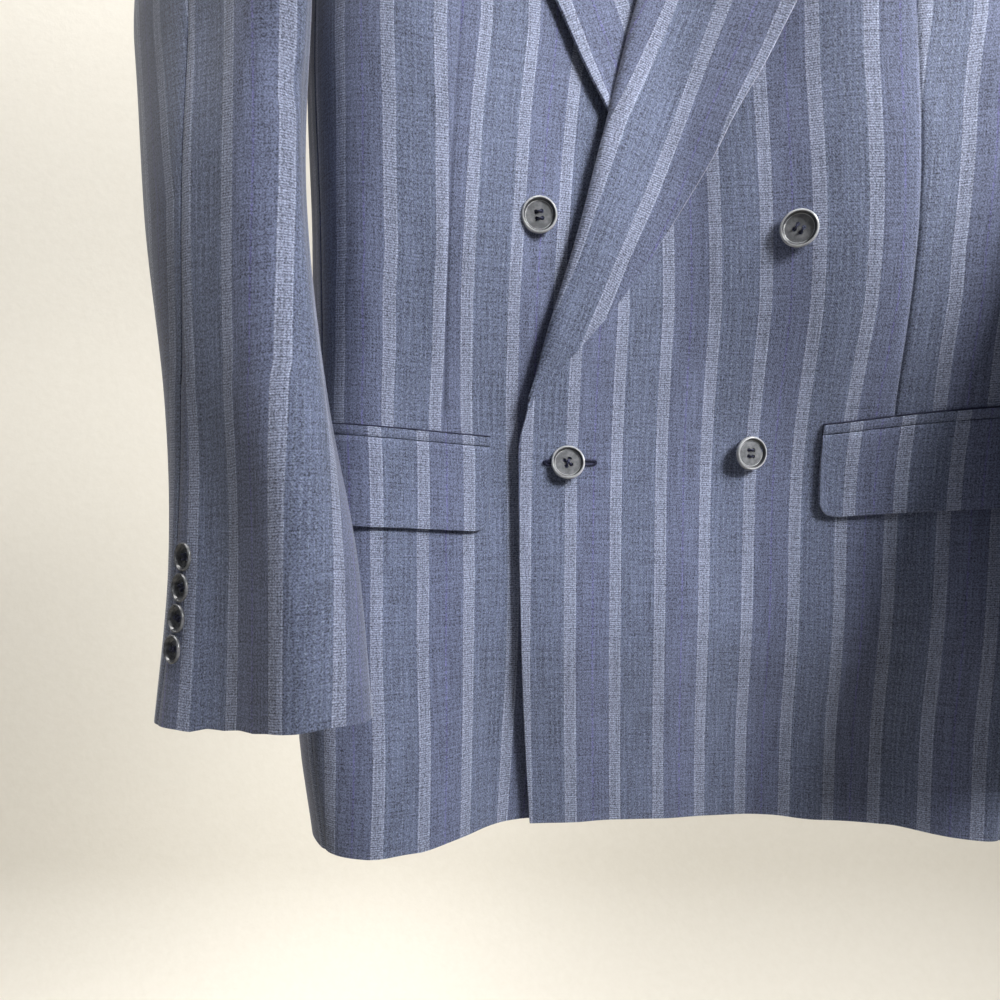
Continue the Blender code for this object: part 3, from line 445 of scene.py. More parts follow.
def halving(low, high, short, turns=26):
    """Narrows down between two columns to where short(column) stops being so."""
    for _ in range(turns):
        mid = (low + high) / 2
        under = short(mid)
        low, high = np.where(under, mid, low), np.where(under, high, mid)
    return (low + high) / 2


def column_for(row, wanted_x):
    """The front column at which a row reaches the x that wanted_x gives for a height."""
    row = np.asarray(row, float)

    def short(column):
        p = body(column, row)
        return p[..., 0] < wanted_x(p[..., 2])

    return halving(np.full(row.shape, -4.9), np.full(row.shape, 4.9), short)


def column_behind(row, half):
    """The back column at which a row reaches a distance from the centre back."""
    row = np.asarray(row, float)
    low, high = np.full(row.shape, float(BACK_SEAM)), np.full(row.shape, float(CENTRE_BACK))
    return halving(low, high, lambda column: body(column, row)[..., 0] > half)


def front_edge(z):
    """The left front's inner edge: its x at a height. The right front's is the mirror."""
    roll_z, roll_x = np.array(ROLL, float).T
    neck_z, neck_x = np.array(NECKLINE, float).T
    below = np.maximum(roll_z[0] - z, 0)
    foot = roll_x[0] - (EDGE_HALF + roll_x[0]) * ease(below / 30.0) + EDGE_SWING * below**2
    x = np.where(z < roll_z[0], foot, smooth(roll_z, roll_x, z))
    return np.where(z > neck_z[0], np.interp(z, neck_z, neck_x), x)


def overlap(p):
    """How far the left front stands off the form, over the right front and its lapel."""
    across = 1 - ease((p[..., 0] - OVERLAP_EDGE_HALF) / (OVERLAP_OUT_HALF - OVERLAP_EDGE_HALF))
    up = 1 - ease((p[..., 2] - OVERLAP_TOP) / (OVERLAP_OUT - OVERLAP_TOP))
    return OVERLAP_RAISE * across * up


def folded(x, z, folds):
    """How far soft folds, each a line with a half width and a rise, lift the cloth at a place."""
    lift = np.zeros(np.broadcast(x, z).shape)
    for x0, z0, x1, z1, half, rise in folds:
        length = math.hypot(x1 - x0, z1 - z0)
        way = ((x1 - x0) / length, (z1 - z0) / length)
        run = ((x - x0) * way[0] + (z - z0) * way[1]) / length
        off = (x - x0) * way[1] - (z - z0) * way[0]
        ends = ease(run / 0.3) * ease((1 - run) / 0.3)
        if z1 < HEM_HEIGHT + 60:
            ends = ease(run / 0.3) * (run < 1.2)
        lift = lift + rise * np.exp(-((off / half) ** 2)) * ends
    return lift


def drape(p, column):
    """Soft folds of the body's cloth, front and back, fading out at its side seams."""
    front = folded(p[..., 0], p[..., 2], FRONT_FOLDS) * ease((FRONT_SEAM - np.abs(column)) / 0.6)
    back = folded(p[..., 0], p[..., 2], BACK_FOLDS) * ease((np.abs(column) - BACK_SEAM) / 0.6)
    return front + back


def hem_lift(p):
    """How far the front hem hangs above or below its level, fading out over the skirt."""
    x, lift = np.array(HEM_LIFT, float).T
    fading = ease((HEM_HEIGHT + HEM_FADE - p[..., 2]) / HEM_FADE) * ease((-10 - p[..., 1]) / 40)
    return np.interp(p[..., 0], x, lift) * fading


def raised(column, row, height, lap=False):
    """A point of the draped cloth moved out by a height, over the overlap where lap is set."""
    p = body(column, row)
    height = height + drape(p, column)
    if lap:
        height = height + overlap(p)
    p = p + body_out(column, row) * np.asarray(height)[..., None]
    p[..., 2] += hem_lift(p)
    return p


def place(x, z, behind=False):
    """The column and row of the body at an x and height, on the front or the back."""
    x, z = np.broadcast_arrays(np.asarray(x, float), np.asarray(z, float))
    row = np.clip(body_row(z), 0, 1.0)
    for _ in range(12):
        column = column_behind(row, x) if behind else column_for(row, lambda _: x)
        miss = z - body(column, row)[..., 2]
        steep = np.where(row < 1, CHEST_HEIGHT - HEM_HEIGHT, SHOULDER_ROUND * math.pi / 2)
        row = np.clip(row + miss / steep, 0, 1.99)
    return column, row


def armhole_line():
    """The wearer's right armhole from the shoulder by the front and the armpit, and its lengths."""
    rows = np.linspace(2.0, body_row(ARMPIT_LEVEL), 60)
    under = np.linspace(0, math.pi, 40)
    front = body(-float(FRONT_SEAM), rows)
    under_columns = -(SIDE - np.cos(under))
    under_rows = body_row(ARMPIT_LEVEL - ARMPIT_DIP * np.sin(under))
    back = body(-float(BACK_SEAM), rows[::-1])
    line = np.concatenate([front, body(under_columns, under_rows)[1:-1], back])
    return line, np.concatenate([[0], np.cumsum(np.linalg.norm(np.diff(line, axis=0), axis=1))])


ARMHOLE, ARMHOLE_RUN = armhole_line()
SLEEVE_TABLE = table(SLEEVE_COLUMNS, SLEEVE)


def armhole(share):
    """A point of the armhole, at a share of its length."""
    at = np.mod(share, 1.0) * ARMHOLE_RUN[-1]
    return np.stack([np.interp(at, ARMHOLE_RUN, ARMHOLE[:, k]) for k in range(3)], axis=-1)


def sleeve_value(name, height):
    return smooth(SLEEVE_TABLE["height"], SLEEVE_TABLE[name], height)


def arm(share, height):
    """The wearer's right sleeve below its head: share 0 at its outer line, rising by the front."""
    share, height = np.broadcast_arrays(np.asarray(share, float), np.asarray(height, float))
    x, y = -sleeve_value("x", height), sleeve_value("y", height)
    long, short = sleeve_value("long", height), sleeve_value("short", height)
    turn = np.radians(sleeve_value("turn", height))
    angle = np.arctan2(short * np.sin(turn), long * np.cos(turn)) + 2 * math.pi * share
    power = 2 / SLEEVE_SQUARE
    u = long * np.sign(np.cos(angle)) * np.abs(np.cos(angle)) ** power
    v = short * np.sign(np.sin(angle)) * np.abs(np.sin(angle)) ** power
    px = x - u * np.cos(turn) - v * np.sin(turn)
    py = y + u * np.sin(turn) - v * np.cos(turn)
    tilt = CUFF_TILT * ease((CUFF_TILT_FROM - height) / (CUFF_TILT_FROM - CUFF_HEIGHT))
    return np.stack([px, py, height + tilt * (px - x)], axis=-1)


def sleeve(share, along):
    """The wearer's right sleeve: along 0 at the armhole, 1 under the head, 2 at the cuff."""
    share, along = np.broadcast_arrays(np.asarray(share, float), np.asarray(along, float))
    low = np.clip(along - 1, 0, 1)
    lower = arm(share + HEAD_TWIST, HEAD_HEIGHT + low * (CUFF_HEIGHT - HEAD_HEIGHT))
    t = np.clip(along, 0, 1)[..., None]
    start = armhole(share) + np.array([-SLEEVE_SET, 0, 0])
    end = arm(share + HEAD_TWIST, HEAD_HEIGHT)
    top = (1 + np.cos(2 * math.pi * share)) / 2
    reach = np.linalg.norm(end - start, axis=-1, keepdims=True)
    out = unit(np.stack([-0.2 - 0.8 * top, 0 * top, -1 + 0.8 * top], axis=-1)) * reach
    down = unit(arm(share + HEAD_TWIST, HEAD_HEIGHT - 5) - end) * reach
    head = (
        (2 * t**3 - 3 * t**2 + 1) * start
        + (t**3 - 2 * t**2 + t) * out
        + (3 * t**2 - 2 * t**3) * end
        + (t**3 - t**2) * down
    )
    return np.where(t < 1, head, lower)


def sleeve_out(share, along):
    """The outward direction of the sleeve's cloth."""
    across = sleeve(share + 0.01, along) - sleeve(share - 0.01, along)
    down = sleeve(share, np.minimum(along + 0.01, 2)) - sleeve(share, np.maximum(along - 0.01, 0))
    return unit(np.cross(down, across))


def draped_sleeve(share, along, side, height=0.0):
    """A point of a sleeve's cloth with its creases, on the wearer's right."""
    p, out = sleeve(share, along), sleeve_out(share, along)
    forward = ease(-out[..., 1] / 0.6)
    backward = ease(out[..., 1] / 0.6)
    folds = SLEEVE_FOLDS[side]
    lift = folded(-p[..., 0], p[..., 2], folds["front"]) * forward
    lift = lift + folded(-p[..., 0], p[..., 2], folds["back"]) * backward
    lift = lift * ease(along / 0.2)
    p = p + out * np.asarray(lift + height)[..., None]
    x, rise = np.array(CUFF_LIFT, float).T
    fading = ease((CUFF_HEIGHT + CUFF_FADE - p[..., 2]) / CUFF_FADE)
    fading = fading * ease((0.2 - out[..., 1]) / 0.6)
    p[..., 2] += np.interp(-p[..., 0], x, rise) * fading
    return p


def seam_share(along, armhole_share, name):
    """Where a sleeve seam runs, as a share round the sleeve."""
    low = np.clip(np.asarray(along, float) - 1, 0, 1)
    lower = sleeve_value(name, HEAD_HEIGHT + low * (CUFF_HEIGHT - HEAD_HEIGHT)) - HEAD_TWIST
    start = sleeve_value(name, HEAD_HEIGHT) - HEAD_TWIST
    return np.where(along < 1, armhole_share + (start - armhole_share) * ease(along), lower)


# --- making up ---


def deselect():
    bpy.ops.object.select_all(action="DESELECT")


def finish_modifiers(piece):
    """Applies every modifier of a piece, in order."""
    deselect()
    piece.select_set(True)
    bpy.context.view_layer.objects.active = piece
    for modifier in list(piece.modifiers):
        bpy.ops.object.modifier_apply(modifier=modifier.name)


def lengths_across(points):
    """Lengths run along each row of a grid of points."""
    steps = np.linalg.norm(np.diff(points, axis=1), axis=-1)
    return np.concatenate([np.zeros((len(points), 1)), np.cumsum(steps, axis=1)], axis=1)


def paint(piece, *finishes):
    piece.data.materials.clear()
    for finish in finishes:
        piece.data.materials.append(finish)


def cloth(name, points, across, finish, thick=WALL, turned=False, round_edge=EDGE_ROUND):
    """A sheet of cloth from a grid: shaped to its points, given its wall and soft edges.

    Points lie in rows from the hem up. Across holds each point's place across the stripes.
    """
    rows, columns = points.shape[:2]
    deselect()
    bpy.ops.mesh.primitive_grid_add(x_subdivisions=columns - 1, y_subdivisions=rows - 1, size=1.0)
    piece = bpy.context.object
    piece.name = piece.data.name = name
    mesh = piece.data
    mesh.vertices.foreach_set("co", (points * MM).reshape(-1))
    along = lengths_across(points.transpose(1, 0, 2)).T
    flat = np.stack([across, along], axis=-1).reshape(-1, 2) * MM
    corner = np.empty(len(mesh.loops), dtype=np.int32)
    mesh.loops.foreach_get("vertex_index", corner)
    mesh.uv_layers.active.data.foreach_set("uv", flat[corner].reshape(-1))
    mesh.update()
    if turned:
        bpy.ops.object.mode_set(mode="EDIT")
        bpy.ops.mesh.select_all(action="SELECT")
        bpy.ops.mesh.flip_normals()
        bpy.ops.object.mode_set(mode="OBJECT")
    wall = piece.modifiers.new("wall", "SOLIDIFY")
    wall.thickness, wall.offset = thick * MM, -1.0
    edge = piece.modifiers.new("edge", "BEVEL")
    edge.width, edge.segments, edge.limit_method = round_edge * MM, 2, "ANGLE"
    edge.angle_limit = math.radians(55)
    finish_modifiers(piece)
    bpy.ops.object.shade_smooth_by_angle(angle=math.radians(40))
    paint(piece, finish)
    return piece


def edge_run(width, spacing=GRID):
    """Places across a panel for each row's width: close at both edges, even between."""
    near, edge = EDGE_COLUMNS, EDGE_COLUMNS[-1]
    count = max(4, int(np.max(width) / spacing))
    inner = np.linspace(0, 1, count)[1:-1]
    width = np.asarray(width, float)[:, None]
    middle = edge + (width - 2 * edge) * inner
    return np.concatenate([near + 0 * width, middle, width - near[::-1]], axis=1)


def seam_dip(run, width):
    """How far cloth turns in at a seam along the edges of a panel."""
    width = np.asarray(width, float)[:, None]
    end = np.minimum(run, width - run)
    return -SEAM_DEPTH * (1 - ease(end / SEAM_REACH))


def panel_rows():
    """Rows of a body panel, hem to shoulder, closer at the hem and over the shoulder."""
    hem = body_row(HEM_HEIGHT + np.array([0.0, 0.7, 2.0, 4.0, 7.0]))
    low = np.linspace(0, body_row(ARMPIT_LEVEL), LOW_ROWS)
    mid = np.linspace(body_row(ARMPIT_LEVEL), 1.0, CHEST_ROWS)[1:]
    top = 1 + np.linspace(0, 1, SHOULDER_ROWS)[1:]
    return np.unique(np.concatenate([hem, low[3:], mid, top[:-1], [1.9985]]))


def columns_between(first, last, rows, spacing=GRID, inner_runs=None):
    """Columns of a panel between two limits for each row, spaced evenly along the cloth."""
    share = np.linspace(0, 1, 70)
    fine = first[:, None] + (last - first)[:, None] * share
    line = body(fine, np.broadcast_to(rows[:, None], fine.shape))
    run = lengths_across(line)
    width = run[:, -1]
    wanted = edge_run(width, spacing) if inner_runs is None else inner_runs(line, run, width)
    columns = np.stack([np.interp(wanted[k], run[k], fine[k]) for k in range(len(rows))])
    return columns, wanted, width


def dart_runs(side):
    """Places across a front that put columns close beside its dart."""

    def runs(line, run, width):
        x = line[..., 0]
        height = line[..., 2].mean(axis=1)
        dart_x = side * along_line(DART, height)
        dart = np.array([np.interp(dart_x[k], x[k], run[k]) for k in range(len(x))])[:, None]
        wide = width[:, None]
        near, edge, clear = EDGE_COLUMNS, EDGE_COLUMNS[-1], 5.0
        if side > 0:
            counts = (int((dart - edge).max() / GRID), max(5, int((wide - dart).max() / GRID)))
        else:
            counts = (max(5, int(dart.max() / GRID)), int((wide - dart).max() / GRID))
        first = edge + (dart - edge - clear) * np.linspace(0, 1, counts[0])[1:]
        last = dart + clear + (wide - edge - dart - clear) * np.linspace(0, 1, counts[1])[:-1]
        runs = [near + 0 * wide, first, dart + DART_COLUMNS, last, wide - near[::-1]]
        return np.concatenate(runs, axis=1)

    return runs


def dart_sink(points, side):
    """The groove of the dart seam, from the pocket up to where it runs out."""
    height = points[..., 2]
    off = side * points[..., 0] - along_line(DART, height)
    reach = ease((height - DART_FOOT) / 4) * ease((DART_END - height) / 40)
    return -reach * sum(depth * np.exp(-((off / half) ** 2)) for depth, half in DART_GROOVES)


def front_stripes(points, side):
    """Each point's place across the stripes of a front, its dart's cloth taken in."""
    run = lengths_across(points)
    x, z = points[..., 0], points[..., 2]
    grain, count = GRAIN[side]
    height = z.mean(axis=1)
    grain_x = along_line(grain, height)
    start = np.array([np.interp(grain_x[k], x[k], run[k]) for k in range(len(x))])[:, None]
    taken = along_line(DART_TAKES, z)
    _, _, front_x, mouth = POCKETS[0] if side > 0 else POCKETS[1]
    mouth = mouth + POCKET_RISE * (side * x - abs(front_x)) / 100
    taken = np.where(z < mouth - JET_HEIGHT / 2, 0.0, taken)
    beyond = (side * x > along_line(DART, z)) * side
    return run - start + count * STRIPE_PITCH + beyond * taken


def make_fronts(finish):
    rows = panel_rows()
    seam_column = np.full(rows.shape, FRONT_SEAM - SEAM_GAP / FRONT_COLUMN)
    limits = {
        "left": (column_for(rows, front_edge), seam_column, 1),
        "right": (-seam_column, column_for(rows, lambda z: -front_edge(z)), -1),
    }
    for word, (first, last, side) in limits.items():
        columns, run, width = columns_between(first, last, rows, inner_runs=dart_runs(side))
        across_rows = np.broadcast_to(rows[:, None], columns.shape)
        seam = seam_dip(run, width)
        seam = seam * (run > width[:, None] / 2) if side > 0 else seam * (run < width[:, None] / 2)
        form = body(columns, across_rows)
        points = raised(columns, across_rows, seam + dart_sink(form, side), lap=side > 0)
        piece = cloth(f"{word}_front_cloth", points, front_stripes(form, side), finish)
        keep(piece, f"{word}_front")


def make_side_panels(finish):
    turn = np.linspace(0, math.pi, 64)
    columns = SIDE - np.cos(turn) * (1 - SEAM_GAP / FRONT_COLUMN)
    top = body_row(ARMPIT_LEVEL - ARMPIT_DIP * np.sin(turn))
    shares = np.concatenate([[0, 0.0013, 0.004, 0.008], np.linspace(0.013, 1, SIDE_ROWS)])
    rows = shares[:, None] * top
    for word, side in (("left", 1), ("right", -1)):
        signed, level = np.broadcast_to(columns, rows.shape)[:, ::side] * side, rows[:, ::side]
        run = lengths_across(body(signed, level))
        points = raised(signed, level, seam_dip(run, run[:, -1]))
        across = run - run[:, -1:] / 2 + SIDE_STRIPE
        piece = cloth(f"{word}_side_cloth", points, across, finish)
        keep(piece, f"{word}_side_panel")


def make_backs(finish):
    rows = panel_rows()
    rows = np.append(rows[rows < 1.99], 1.996)
    neck = np.clip(1 - ((2 - rows) / (2 - NAPE_ROW)) ** 2, 0, 1)
    middle = np.where(rows > NAPE_ROW, column_behind(rows, NECK_HALF * np.sqrt(neck)), CENTRE_BACK)
    middle = np.minimum(middle, CENTRE_BACK - SEAM_GAP / BACK_COLUMN)
    seam = np.full(rows.shape, BACK_SEAM + SEAM_GAP / FRONT_COLUMN)
    for word, first, last, side in (("left", seam, middle, 1), ("right", -middle, -seam, -1)):
        columns, run, width = columns_between(first, last, rows, spacing=BACK_GRID)
        across_rows = np.broadcast_to(rows[:, None], columns.shape)
        form = body(columns, across_rows)
        inner = form[:, -1:, 0] if side > 0 else form[:, :1, 0]
        place_across = run - run[:, -1:] - np.abs(inner) if side > 0 else run + np.abs(inner)
        points = raised(columns, across_rows, seam_dip(run, width))
        piece = cloth(f"{word}_back_cloth", points, place_across + STRIPE_PITCH / 2, finish)
        keep(piece, f"{word}_back")


def sleeve_rows():
    """Rows of a sleeve, cuff to armhole, closer at the cuff."""
    head = np.linspace(0, 1, HEAD_ROWS)
    low = np.linspace(1, 2, ARM_ROWS)[1:-2]
    cuff = 2 - np.array([5.0, 2.5, 1.0, 0.0]) / (HEAD_HEIGHT - CUFF_HEIGHT)
    return np.concatenate([head, low, cuff])[::-1]


def head_stripes(form, across, along):
    """Places across the stripes with those of the sleeve head kept to the way the arm runs."""
    under_head = int(np.argmin(np.abs(along - 1)))
    way = unit(ARMHOLE.mean(axis=0) - sleeve(np.linspace(0, 1, 41)[:-1], 1.0).mean(axis=0))
    flat = form - (form @ way)[..., None] * way
    run = lengths_across(flat)
    middle = form.shape[1] // 2
    scale = (across[under_head, -1] - across[under_head, 0]) / run[under_head, -1]
    head = across[under_head, middle] + (run - run[:, middle : middle + 1]) * scale
    share = ease((1 - along) / HEAD_BLEND)[:, None]
    return across * (1 - share) + head * share


def make_sleeves(finish):
    """Two-piece sleeves, their stripes hung from one that runs down the top sleeve."""
    along = sleeve_rows()
    hind = seam_share(along, ARMHOLE_HIND, "hind")
    fore = seam_share(along, ARMHOLE_FORE, "fore")
    gap = 2 * SEAM_GAP / SLEEVE_ROUND
    limits = (("top", hind + gap, fore - gap), ("under", fore + gap, hind + 1 - gap))
    for kind, first, last in limits:
        fine = first[:, None] + (last - first)[:, None] * np.linspace(0, 1, 60)
        line = sleeve(fine, np.broadcast_to(along[:, None], fine.shape))
        run = lengths_across(line)
        width = run[:, -1]
        wanted = edge_run(width)
        share = np.stack([np.interp(wanted[k], run[k], fine[k]) for k in range(len(along))])
        level = np.broadcast_to(along[:, None], share.shape)
        form = sleeve(share, level)
        if kind == "top":
            facing = sleeve_out(share, level)[..., 1] < 0
            start = []
            for k in range(len(along)):
                x = np.where(facing[k], form[k, :, 0], 1e6)
                start.append(np.interp(SLEEVE_STRIPE_X, np.maximum.accumulate(x), wanted[k]))
            start = np.convolve(np.pad(start, 6, mode="edge"), np.ones(13) / 13, mode="valid")
            across = wanted - start[:, None] + 2 * STRIPE_PITCH
        else:
            lean = along_line(UNDER_LEAN, form[:, -1, 2])
            across = wanted - width[:, None] - lean[:, None]
        across = head_stripes(form, across, along)
        dip = seam_dip(wanted, width)
        for word, side in (("right", 1), ("left", -1)):
            mirror = np.array([side, 1, 1])
            points = draped_sleeve(share, level, word, dip) * mirror
            name = f"{word}_{kind}_sleeve"
            piece = cloth(name + "_cloth", points, across, finish, turned=side < 0)
            keep(piece, name)


def lapel_frame(count):
    """The wearer's left lapel flat on the front: shares up it, its roll line and its edge."""
    t = np.linspace(0, 1, count)
    t = np.concatenate([[0, 0.002, 0.006], t[2:-2], [0.994, 0.998, 1.0]])
    roll_z = LAPEL_FOOT + (LAPEL_TOP - LAPEL_FOOT) * t
    roll = np.stack([front_edge(roll_z), roll_z], axis=-1)
    edge_z, edge_x = np.array(LAPEL_EDGE, float).T
    z = edge_z[0] + (edge_z[-1] - edge_z[0]) * t
    edge = np.stack([smooth(edge_z, edge_x, z), z], axis=-1)
    return t, roll, edge


def make_lapels(finish):
    t, roll, edge = lapel_frame(LAPEL_ROWS)
    width = np.linalg.norm(edge - roll, axis=-1)
    way = (edge - roll) / width[:, None]
    curl = np.array(ROLL_FACE)
    turn = np.linspace(0, len(curl) - 1, 22)
    curl = np.stack([smooth(np.arange(len(curl)), curl[:, k], turn) for k in (0, 1)], axis=-1)
    span = np.maximum(width, 2.4)[:, None]
    small = np.minimum(1.0, 0.75 * span / curl[-1, 0])
    reach = np.where(curl[:, 0] > 0, curl[:, 0] * small, curl[:, 0])
    shares = np.concatenate([np.linspace(0, 1, 40)[1:-2], [0.985, 1.0]])
    across = np.concatenate([reach, reach[:, -1:] + (span - reach[:, -1:]) * shares], axis=1)
    out = np.concatenate([curl[:, 1], np.full(len(shares), LAPEL_FACE)])
    lean = np.interp(t, *np.array(LAPEL_LEAN, float).T)[:, None]
    tucked = 0.3 + 0.7 * ease(t / LAPEL_LAID)[:, None]
    across = np.where(across < 0, across * tucked + LAPEL_TIP_IN * (1 - tucked), across)
    flat = roll[:, None] + way[:, None] * across[..., None]
    beside = across / span
    slope = np.where(beside < NOTCH_PLACE, NOTCH_PLACE, 1 - NOTCH_PLACE)
    dip = np.clip(1 - np.abs(beside - NOTCH_PLACE) / slope, 0, 1)
    flat[..., 1] -= NOTCH_DIP * dip * ease((t - NOTCH_FROM) / (1 - NOTCH_FROM))[:, None]
    column, row = place(flat[..., 0], flat[..., 1])
    stripes = lapel_stripes(flat[..., 0], flat[..., 1])
    laid = ease(t / LAPEL_LAID)[:, None]
    height = LAPEL_TIP_FACE + (out - LAPEL_TIP_FACE) * laid + lean * np.clip(beside, 0, 1) ** 1.5
    for word, side in (("left", 1), ("right", -1)):
        points = raised(side * column, row, height, lap=side > 0)
        piece = cloth(f"{word}_lapel_cloth", points, stripes, finish, turned=side < 0)
        keep(piece, f"{word}_lapel")


def lapel_stripes(x, z):
    """Places across the stripes of the wearer's left lapel, by where three of them run."""
    rows = np.array(LAPEL_STRIPES, float)
    first, second, third = (np.interp(z, rows[:, 0], rows[:, k]) for k in (1, 2, 3))
    inner = (x - first) / (second - first)
    outer = 1 + (x - second) / (third - second)
    return np.where(x < second, inner, outer) * STRIPE_PITCH


def clear_of_body(points, gap):
    """Moves points out of the body until they stand a gap off its shoulders and back."""
    columns, rows = np.meshgrid(np.linspace(-10, 10, 161), np.linspace(0.8, 1.98, 60))
    skin, out = body(columns, rows).reshape(-1, 3), body_out(columns, rows).reshape(-1, 3)
    moved = points.reshape(-1, 3).copy()
    for _ in range(3):
        near = np.argmin(((skin[None] - moved[:, None]) ** 2).sum(axis=-1), axis=1)
        stand = ((moved - skin[near]) * out[near]).sum(axis=-1)
        moved += out[near] * np.clip(gap - stand, 0, None)[:, None]
    return moved.reshape(points.shape)


def make_collar(finish):
    """Stand and fall in one: up from the neck seam, over the fold and down to the edge."""
    t = table(COLLAR_COLUMNS, COLLAR)
    behind = t["behind"][:, None] > 0
    neck_z, neck_x = np.array(NECKLINE, float).T
    neck_row = 2 - (2 - NAPE_ROW) * np.sqrt(1 - np.clip(t["neck_x"] / NECK_HALF, 0, 1) ** 2)
    face = np.full(neck_row.shape, COLLAR_FACE)

    def bare(column, row, height):
        return body(column, row) + body_out(column, row) * np.asarray(height)[..., None]

    front_foot = bare(*place(t["neck_x"], np.interp(t["neck_x"], neck_x, neck_z)), 0.0 * neck_row)
    back_foot = bare(column_behind(neck_row, t["neck_x"]), neck_row, 0.0 * neck_row)
    foot = np.where(behind, back_foot, front_foot)
    front_line = bare(*place(t["outer_x"], t["outer_z"]), face)
    back_line = bare(*place(t["outer_x"], t["outer_z"], behind=True), face)
    edge = np.where(behind, back_line, front_line)
    out = unit(np.stack([t["out_x"], t["out_y"], 0 * t["out_x"]], axis=-1))
    up = unit(np.stack([0 * t["up_y"], t["up_y"], t["up_z"]], axis=-1))
    rise = t["rise"][:, None]
    foot = foot - out * t["inset"][:, None] + up * t["lift"][:, None]
    fold = [foot, foot + up * rise * 0.6, foot + up * rise]
    fold += [fold[-1] + up * FOLD_STEP + out * FOLD_ROUND, fold[-1] + out * FOLD_OUT]
    gorge = bare(*place(*GORGE_END), np.array(COLLAR_FACE))
    for share in (0.2, 0.45, GORGE_SHARE, 1.0):
        bulge = FALL_BULGE * math.sin(math.pi * share)
        fall = fold[4] + (edge - fold[4]) * share + (out * 0.7 + up) * bulge
        if share <= GORGE_SHARE:
            fall[0] = fold[4][0] + (gorge - fold[4][0]) * share / GORGE_SHARE
        fold.append(fall)
    half = np.stack(fold, axis=1)
    stations = np.arange(len(COLLAR))
    fine = np.linspace(0, len(COLLAR) - 1, 2 * len(COLLAR) - 1)
    half = smooth(stations, half.reshape(len(COLLAR), -1), fine).reshape(len(fine), -1, 3)
    grid = np.concatenate([half, half[-2::-1] * np.array([-1, 1, 1])])
    grid[:, 5:] = clear_of_body(grid[:, 5:], COLLAR_FACE)
    long = np.concatenate([[0, 0.03, 0.1], np.linspace(0.3, len(grid) - 1.3, COLLAR_ROWS)])
    long = np.concatenate([long, len(grid) - 1 - np.array([0.1, 0.03, 0.0])])
    grid = smooth(np.arange(len(grid)), grid, long)
    wide = np.concatenate([np.linspace(0, 7.8, 40), [7.92, 7.97, 8.0]])
    grid = smooth(np.arange(9), grid.transpose(1, 0, 2), wide)
    length = lengths_across(grid)
    across = length - length[:, -1:] / 2 + STRIPE_PITCH / 2
    piece = cloth("collar_cloth", grid, across, finish, thick=COLLAR_WALL, turned=True)
    keep(piece, "collar")


def along_row(first, level, side):
    """Columns along the cloth from a front column round the side, with the length to each."""
    columns = np.linspace(first, BACK_SEAM, 300)
    line = body(columns * side, np.full(300, body_row(level)))
    return columns, lengths_across(line[None])[0]


def thread_line(name, spots, radius, finish, closed=False):
    """A round thread laid through a run of spots."""
    line = bpy.data.curves.new(name, "CURVE")
    line.dimensions = "3D"
    line.bevel_depth, line.bevel_resolution = radius * MM, 3
    line.use_fill_caps = not closed
    run = line.splines.new("POLY")
    run.points.add(len(spots) - 1)
    for point, spot in zip(run.points, spots):
        point.co = (*(spot * MM), 1)
    run.use_cyclic_u = closed
    piece = bpy.data.objects.new(name, line)
    bpy.context.scene.collection.objects.link(piece)
    deselect()
    piece.select_set(True)
    bpy.context.view_layer.objects.active = piece
    bpy.ops.object.convert(target="MESH")
    piece = bpy.context.object
    bpy.ops.object.shade_smooth_by_angle(angle=math.radians(60))
    paint(piece, finish)
    return piece


